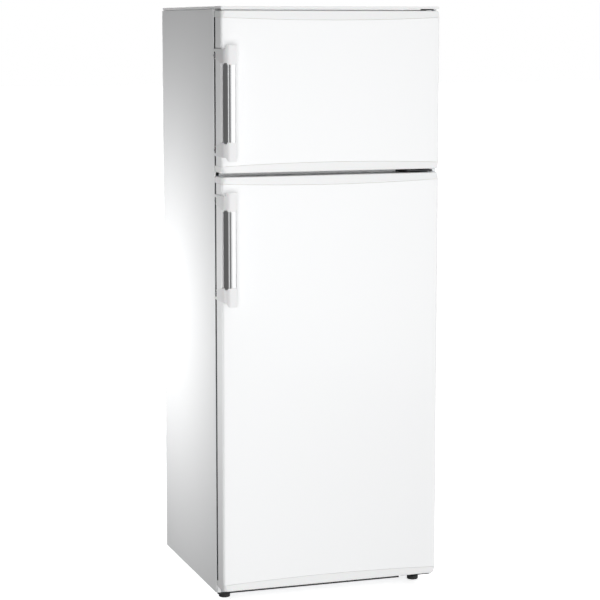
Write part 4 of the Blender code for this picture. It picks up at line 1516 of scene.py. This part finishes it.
    def roller(self, node: str) -> None:
        """A rear roller with a crowned tread, a recessed web and its hub.

        Args:
            node: The CAD node's name.
        """
        x, y, z = spans(node)
        radius, half = (z[1] - z[0]) / 2, (x[1] - x[0]) / 2
        at = (middle(x), middle(y), middle(z))
        profile = [
            (0.0034, -half), (0.0060, -half), (0.0064, -half + 0.002), (radius - 0.0038, -half + 0.002),
            (radius - 0.0034, -half), (radius - 0.0014, -half), (radius - 0.0004, -half + 0.0010),
            (radius, -half + 0.0028), (radius, half - 0.0028), (radius - 0.0004, half - 0.0010),
            (radius - 0.0014, half), (radius - 0.0034, half), (radius - 0.0038, half - 0.002),
            (0.0064, half - 0.002), (0.0060, half), (0.0034, half),
        ]
        wheel = turned(profile, at, Axis.X, 48, closed=True)
        self.shop.piece(f"{node}_wheel", wheel, BLACK_MOULDING, node, (node,))


# ------------------------------------------------------------------ inside


@dataclass
class Interior:
    """Shelves, crisper, control housing, lamp, switch and evaporator."""

    shop: Workshop
    frame: dict[str, Any]

    def build(self) -> None:
        """Make what the two compartments hold."""
        for node in ("glass_shelf_1", "glass_shelf_2", "glass_shelf_3", "crisper_cover"):
            self.shelf(node)
        self.rack()
        self.crisper()
        self.controls()
        self.evaporator()
        self.shop.dress(self.frame, "door_switch", TRIM_WHITE, 0.0003)

    def shelf(self, node: str) -> None:
        """A tempered pane with a moulded trim along its front and back.

        Args:
            node: The CAD node's name.
        """
        x, y, z = spans(node)
        pane = slab(shrink(x, 0.0006), shrink(y, 0.003), z, 0.004, 0.0009)
        self.shop.piece(f"{node}_pane", pane, SHELF_GLASS, "cabinet", (node,))
        shapes = []
        for edge, out in ((y[0], -1), (y[1], 1)):
            depth = (min(edge - out * 0.012, edge + out * 0.002), max(edge - out * 0.012, edge + out * 0.002))
            outline = rounded(depth, (z[0] - 0.006, z[1] + 0.003), 0.003, 5)
            rings = []
            for across in (x[0] + 0.001, x[0] + 0.0018, x[1] - 0.0018, x[1] - 0.001):
                inset = 0.0006 if across in (x[0] + 0.001, x[1] - 0.001) else 0.0
                ring = []
                for v, w in outline:
                    mid_v, mid_w = middle(depth), middle((z[0] - 0.006, z[1] + 0.003))
                    scale = 1 - inset / 0.006
                    ring.append((across, mid_v + (v - mid_v) * scale, mid_w + (w - mid_w) * scale))
                rings.append(ring)
            shapes.append(loft(rings))
        self.shop.piece(f"{node}_trims", merged(shapes), TRIM_WHITE, "cabinet")

    def rack(self) -> None:
        """The freezer's coated wire rack: a rim, two cross bars and close wires."""
        x, y, z = spans("freezer_shelf")
        level, rim, wire = middle(z), 0.0019, 0.0012
        corner = 0.010
        path = [(u, v, level) for u, v in rounded(shrink(x, rim), shrink(y, rim), corner, 6)]
        path.append(path[0])
        shapes = [tube(path, rim, 10)]
        for share in (0.33, 0.67):
            depth = y[0] + (y[1] - y[0]) * share
            shapes.append(tube([(across, depth, level - 0.0016) for across in shrink(x, rim)], rim, 10))
        count = 26
        for k in range(1, count):
            across = x[0] + (x[1] - x[0]) * k / count
            shapes.append(tube([(across, depth, level + 0.0012) for depth in shrink(y, 0.001)], wire, 8))
        self.shop.piece("freezer_rack", merged(shapes), TRIM_WHITE, "cabinet", ("freezer_shelf",), sharp=70)

    def crisper(self) -> None:
        """The clear drawer with a rolled rim and a moulded pull at its front."""
        x, y, z = spans("crisper_drawer")
        wall, radius = 0.0022, 0.014
        low, high = z
        rings = nested(x, y, (
            (0.006, radius, low), (0.003, radius, low + 0.004), (0.0012, radius, high - 0.012),
            (0.0, radius, high - 0.010), (0.0, radius, high - 0.002), (0.001, radius, high),
            (0.003, radius - 0.002, high), (wall + 0.0015, radius - wall, high - 0.003),
            (wall + 0.003, radius - wall, low + 0.008), (wall + 0.007, radius - wall, low + wall),
        ))
        self.shop.piece("crisper_tray", loft(rings), CLEAR_STYRENE, "crisper", ("crisper_drawer",), sharp=45)
        pull = slab((middle(x) - 0.085, middle(x) + 0.085), (y[0] - 0.010, y[0] + 0.003),
                    (z[1] - 0.020, z[1] - 0.004), 0.004, 0.003)
        self.shop.piece("crisper_pull", pull, TRIM_WHITE, "crisper")

    def controls(self) -> None:
        """The control housing with vents, the lamp lens and the temperature knob with its scale."""
        x, y, z = spans("control_housing")
        housing = slab(x, y, z, 0.010, 0.003, arc=8)
        self.shop.piece("control_casing", housing, TRIM_WHITE, "cabinet", ("control_housing",))
        lens_x, lens_y, lens_z = spans("lamp_cover")
        shapes = [slab(lens_x, lens_y, lens_z, 0.006, 0.003, arc=6)]
        count = 11
        for k in range(count):
            across = lens_x[0] + 0.006 + (lens_x[1] - lens_x[0] - 0.012) * k / (count - 1)
            shapes.append(slab((across - 0.0016, across + 0.0016), shrink(lens_y, 0.006),
                               (lens_z[0] - 0.0012, lens_z[0] + 0.001), 0.0015, 0.001))
        self.shop.piece("lamp_lens", merged(shapes), LAMP_LENS, "cabinet", ("lamp_cover",))
        knob_x, knob_y, knob_z = spans("thermostat_knob")
        at = (middle(knob_x), knob_y[1], middle(knob_z))
        radius = (knob_x[1] - knob_x[0]) / 2
        outline = ((0.95, 0.0), (1.0, 0.0006), (0.99, 0.0070), (0.95, 0.0090), (0.86, 0.0104), (0.60, 0.0110))
        flutes = Grip(4, 1, 0.03, (0.0005, 0.009))
        dial = turned([(radius * share, -depth) for share, depth in outline], at, Axis.Y, 72, grip=flutes)
        grip = slab((at[0] - 0.0020, at[0] + 0.0020), (at[2] - 0.0115, at[2] + 0.0115),
                    (at[1] - 0.0138, at[1] - 0.0095), 0.0019, 0.0010, Axis.Y)
        self.shop.piece("thermostat_dial", merged([dial, grip]), TRIM_WHITE, "thermostat_knob",
                        ("thermostat_knob",))
        marks = []
        for k in range(7):
            angle = math.radians(210 - 40 * k)
            spread = radius + 0.0045
            spot = (at[0] + spread * math.cos(angle), at[2] + spread * math.sin(angle))
            size = 0.0006 + 0.00014 * k
            marks.append(turned([(size, 0.0), (size, -0.0005), (size * 0.7, -0.0007)],
                                (spot[0], y[0], spot[1]), Axis.Y, 20))
        self.shop.piece("thermostat_scale", merged(marks), BLACK_MOULDING, "cabinet")

    def evaporator(self) -> None:
        """The roll-bond plate with its raised serpentine channel."""
        self.shop.dress(self.frame, "evaporator_plate", ROLLED_ALU, 0.0006)
        x, y, z = spans("evaporator_plate")
        face = y[0]
        lanes, inset, radius = 6, 0.022, 0.0032
        pitch = (z[1] - z[0] - 2 * inset) / (lanes - 1)
        points = []
        for k in range(lanes):
            level = z[0] + inset + pitch * k
            ends = (x[0] + inset + pitch / 2, x[1] - inset - pitch / 2)
            start, stop = ends if k % 2 == 0 else ends[::-1]
            points += [(start, face, level), (stop, face, level)]
            if k < lanes - 1:
                out = 1 if k % 2 == 0 else -1
                for step in range(1, 8):
                    angle = math.pi * step / 8
                    points.append((stop + out * pitch / 2 * math.sin(angle), face,
                                   level + pitch / 2 * (1 - math.cos(angle))))
        self.shop.piece("evaporator_channel", tube(points, radius, 12), ROLLED_ALU, "cabinet", sharp=60)


# ------------------------------------------------------------------ behind


@dataclass
class Machine:
    """The rear sheet, condenser and compressor bay."""

    shop: Workshop
    frame: dict[str, Any]

    def build(self) -> None:
        """Make what stands behind and under the cabinet."""
        for node, finish, bevel in (
            ("back_panel", ZINC, 0.0004),
            ("compressor_mount", ZINC, 0.0004),
            ("condenser_coil", COIL_BLACK, 0.0),
            ("filter_drier", PIPE_COPPER, 0.0),
            ("suction_pipe", PIPE_COPPER, 0.0),
            ("power_inlet", BLACK_MOULDING, 0.0005),
        ):
            self.shop.dress(self.frame, node, finish, bevel)
        self.wires()
        self.back_details()
        self.compressor()
        self.tray()

    def wires(self) -> None:
        """The condenser's upright wires, welded in front of and behind the tube."""
        x, y, _ = spans("condenser_coil")
        _, _, panel_z = spans("back_panel")
        low, high = 0.305, 1.280
        wire = 0.0007
        shapes = []
        count = 33
        for k in range(count):
            across = x[0] + 0.012 + (x[1] - x[0] - 0.024) * k / (count - 1)
            for depth in (y[0] - wire * 0.6, y[1] + wire * 0.6):
                shapes.append(tube([(across, depth, low), (across, depth, min(high, panel_z[1]))], wire, 6))
        self.shop.piece("condenser_wires", merged(shapes), COIL_BLACK, "cabinet", sharp=70)

    def back_details(self) -> None:
        """Pressed stiffening beads and the screws round the rear sheet."""
        x, _, z = spans("back_panel")
        face = spans("cabinet_shell")[1][1]
        beads, half = [], 0.0058
        for across in (x[0] + 0.035, x[1] - 0.035):
            rows = [(0.0, half, face - 0.0005)]
            for share, lift in ((0.8, 0.0012), (0.5, 0.0020), (0.2, 0.0024)):
                rows.append((half * (1 - share), half * share, face + lift))
            rings = nested((across - 0.006, across + 0.006), shrink(z, 0.06), rows, Axis.Y, 8)
            beads.append(loft(rings))
        self.shop.piece("back_panel_beads", merged(beads), ZINC, "cabinet")
        heads = []
        for k in range(6):
            level = z[0] + 0.015 + (z[1] - z[0] - 0.030) * k / 5
            for across in (x[0] + 0.012, x[1] - 0.012):
                heads.append(screw_head((across, face, level), Axis.Y, 1, 0.0038))
        self.shop.piece("back_panel_screws", merged(heads), SCREW_STEEL, "cabinet")

    def compressor(self) -> None:
        """The sealed can with its weld flange, foot plate, grommets, stubs and terminal cover."""
        x, y, _ = spans("compressor")
        centre = (middle(x), middle(y))
        profile = [
            (0.030, 0.0535), (0.042, 0.0540), (0.0540, 0.0580), (0.0600, 0.0660), (0.0630, 0.0800),
            (0.0640, 0.0950), (0.0640, 0.1125), (0.0665, 0.1130), (0.0682, 0.1142), (0.0682, 0.1168),
            (0.0665, 0.1180), (0.0640, 0.1186), (0.0636, 0.1350), (0.0620, 0.1500), (0.0580, 0.1630),
            (0.0500, 0.1735), (0.0380, 0.1790), (0.0220, 0.1820), (0.0080, 0.1828),
        ]
        shapes = [turned(profile, (*centre, 0), steps=64)]
        foot = slab(x, (centre[1] - 0.045, centre[1] + 0.045), (0.0500, 0.0535), 0.012, 0.0008, arc=6)
        shapes.append(foot)
        self.shop.piece("compressor_can", merged(shapes), CAN_BLACK, "cabinet", ("compressor",), sharp=50)
        grommets = []
        for dx in (-0.065, 0.065):
            for dy in (-0.034, 0.034):
                at = (centre[0] + dx, centre[1] + dy, 0.0365)
                grommets.append(turned([(0.0095, 0.0), (0.0105, 0.002), (0.0105, 0.004), (0.0085, 0.0055),
                                        (0.0085, 0.0080), (0.0105, 0.0095), (0.0105, 0.0115),
                                        (0.0095, 0.0134)], at, steps=32))
        self.shop.piece("compressor_grommets", merged(grommets), SEAL_GREY, "cabinet", sharp=50)
        stubs = []
        for radius, *ends in (
            (0.0040, (-0.058, 0.020, 0.128), (-0.082, 0.026, 0.132)),
            (0.0032, (-0.060, -0.016, 0.140), (-0.086, -0.024, 0.146)),
        ):
            line = [(centre[0] + dx, centre[1] + dy, level) for dx, dy, level in ends]
            stubs.append(tube(line, radius, 14))
        self.shop.piece("compressor_stubs", merged(stubs), PIPE_COPPER, "cabinet")
        cover_x, cover_y, cover_z = spans("terminal_cover")
        cover = slab(cover_y, cover_z, cover_x, 0.006, 0.003, Axis.X)
        clip = tube([(cover_x[0] + 0.010, cover_y[0] - 0.0014, cover_z[0] - 0.001),
                     (cover_x[1] + 0.0012, cover_y[0] - 0.0014, middle(cover_z)),
                     (cover_x[1] + 0.0012, cover_y[1] + 0.0014, middle(cover_z)),
                     (cover_x[0] + 0.010, cover_y[1] + 0.0014, cover_z[0] - 0.001)], 0.0009, 8)
        self.shop.piece("terminal_casing", cover, BLACK_MOULDING, "cabinet", ("terminal_cover",))
        self.shop.piece("terminal_clip", clip, SCREW_STEEL, "cabinet")

    def tray(self) -> None:
        """The evaporation tray with a rolled rim."""
        x, y, z = spans("drip_tray")
        section = ((0.004, z[0]), (0.001, z[0] + 0.004), (0.001, z[1] - 0.005), (0.0, z[1] - 0.0045),
                   (0.0, z[1] - 0.001), (0.001, z[1]), (0.0028, z[1]), (0.0034, z[1] - 0.002),
                   (0.0034, z[0] + 0.006), (0.007, z[0] + 0.002))
        rings = nested(x, y, [(inset, 0.010, level) for inset, level in section])
        self.shop.piece("drip_pan", loft(rings), BLACK_MOULDING, "cabinet", ("drip_tray",), sharp=45)


# ------------------------------------------------------------------ studio


@dataclass(frozen=True)
class Lamp:
    """One soft box: where it hangs, what it faces, its size, its watts and its beam."""

    name: str
    at: Point
    aim: Point
    size: Flat
    power: float
    mirrored: bool = True
    spread: float = 180.0

    def hang(self) -> None:
        """Hang the box, unseen by the camera, and by mirrors too unless it is mirrored."""
        lamp = bpy.data.lights.new(self.name, "AREA")
        lamp.shape = "RECTANGLE"
        lamp.size, lamp.size_y = self.size
        lamp.energy = self.power
        lamp.spread = math.radians(self.spread)
        made = bpy.data.objects.new(self.name, lamp)
        bpy.context.scene.collection.objects.link(made)
        made.location = self.at
        made.rotation_mode = "QUATERNION"
        made.rotation_quaternion = (Vector(self.aim) - Vector(self.at)).to_track_quat("-Z", "Y")
        made.visible_camera = False
        made.visible_glossy = self.mirrored


LAMPS = (
    Lamp("front_box", (-1.066, -3.114, 0.86), (0.0, 0.0, 0.68), (1.2, 1.2), 49.4, False),
    Lamp("left_box", (-1.08, 0.29, 0.66), (-0.27, 0.29, 0.66), (0.4, 0.4), 6.7, False, 140.0),
    Lamp("front_card", (1.35, -3.6, 1.0), (-0.1, -0.2, 0.8), (1.0, 2.2), 9.0),
    Lamp("right_box", (3.2, -0.6, 1.6), (0.2, 0.0, 0.7), (1.8, 1.8), 8.0),
    Lamp("rear_box", (0.6, 3.6, 1.8), (0.0, 0.2, 0.7), (2.0, 2.0), 40.0),
    Lamp("overhead", (0.3, 0.3, 3.4), (0.0, 0.2, 0.0), (1.6, 1.6), 14.0),
)


@dataclass
class Studio:
    """Floor, lights, surroundings and camera."""

    floor_size: float = 80.0
    room: tuple[Flat, ...] = (
        (0.0, 0.15), (0.45, 0.135), (0.575, 1.1), (0.80, 1.1), (0.925, 0.50), (1.0, 0.35)
    )
    sensor: float = 36.0
    focal: float = 118.3
    shift: float = -0.036
    stand: Point = (-1.567, -4.434, 1.389)
    yaw: float = 18.53
    pitch: float = -7.30

    def build(self) -> None:
        """Make the stage around the appliance."""
        self.floor()
        self.surroundings()
        for lamp in LAMPS:
            lamp.hang()
        self.camera()
        scene = bpy.context.scene
        scene.view_settings.view_transform = "Standard"
        scene.view_settings.look = "None"

    def floor(self) -> None:
        """The plain white paper floor, which glows faintly so that it stays white far away."""
        shape = bmesh.new()
        bmesh.ops.create_grid(shape, x_segments=1, y_segments=1, size=self.floor_size / 2)
        mesh = bpy.data.meshes.new("studio_floor")
        shape.to_mesh(mesh)
        shape.free()
        made = bpy.data.objects.new("studio_floor", mesh)
        bpy.context.scene.collection.objects.link(made)
        graph = Graph(bpy.data.materials.new("studio_paper"))
        fibre = graph.noise(90.0, 3.0)
        tint = graph.mix(fibre, (0.90, 0.90, 0.90), (0.93, 0.93, 0.93))
        mesh.materials.append(graph.surface(
            base_color=tint,
            roughness=0.9 + (fibre - 0.5) * 0.05,
            specular_ior_level=0.1,
            emission_color=tint,
            emission_strength=0.72,
        ))
        made.visible_diffuse = False
        made.visible_glossy = False
        made.visible_transmission = False
        made.visible_shadow = False

    def surroundings(self) -> None:
        """A white room for the camera, and a softly graded one for light and reflections."""
        world = bpy.data.worlds.new("studio_room")
        graph = Graph(world, "Generated")
        across = graph.node("ShaderNodeSeparateXYZ", None, {0: graph.place}, "X")
        share = graph.node("ShaderNodeMapRange", None, {"Value": across, "From Min": -1.0})
        tone = graph.node("ShaderNodeValToRGB", {"stops": self.room}, {0: share})
        lit = graph.node("ShaderNodeBackground", None, {"Color": tone})
        seen = graph.node("ShaderNodeBackground", None, {"Color": (1.0, 1.0, 1.0, 1.0)})
        camera_ray = graph.node("ShaderNodeLightPath", output="Is Camera Ray")
        graph.finish(graph.node("ShaderNodeMixShader", None, {0: camera_ray, 1: lit, 2: seen}),
                     "ShaderNodeOutputWorld")
        bpy.context.scene.world = world

    def camera(self) -> None:
        """A long lens at the front left, level with the freezer and looking slightly down."""
        x, y, _ = spans("freezer_door_skin")
        lens = bpy.data.cameras.new("studio_camera")
        lens.sensor_width = self.sensor
        lens.lens = self.focal
        lens.shift_y = self.shift
        made = bpy.data.objects.new("studio_camera", lens)
        bpy.context.scene.collection.objects.link(made)
        made.location = (middle(x) + self.stand[0], y[0] + self.stand[1], self.stand[2])
        yaw, pitch = math.radians(self.yaw), math.radians(self.pitch)
        gaze = Vector((math.sin(yaw) * math.cos(pitch), math.cos(yaw) * math.cos(pitch), math.sin(pitch)))
        made.rotation_mode = "QUATERNION"
        made.rotation_quaternion = gaze.to_track_quat("-Z", "Y")
        bpy.context.scene.camera = made


def main() -> None:
    """Load the frame, build each sub-assembly in order and set the stage."""
    logging.basicConfig(level=logging.INFO, format="%(name)s: %(message)s")
    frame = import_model()
    shop = Workshop()
    Cabinet(shop, frame).build()
    Door(shop, frame, "freezer", ("freezer_door_bin",), rib_inset=0.032).build()
    Door(shop, frame, "fridge", ("fridge_door_bin_bottle", "fridge_door_bin_middle",
                                 "fridge_door_bin_upper")).build()
    Fittings(shop, frame).build()
    Interior(shop, frame).build()
    Machine(shop, frame).build()
    Studio().build()
    LOG.info("%d pieces made", len(shop.made))


if __name__ == "__main__":
    main()
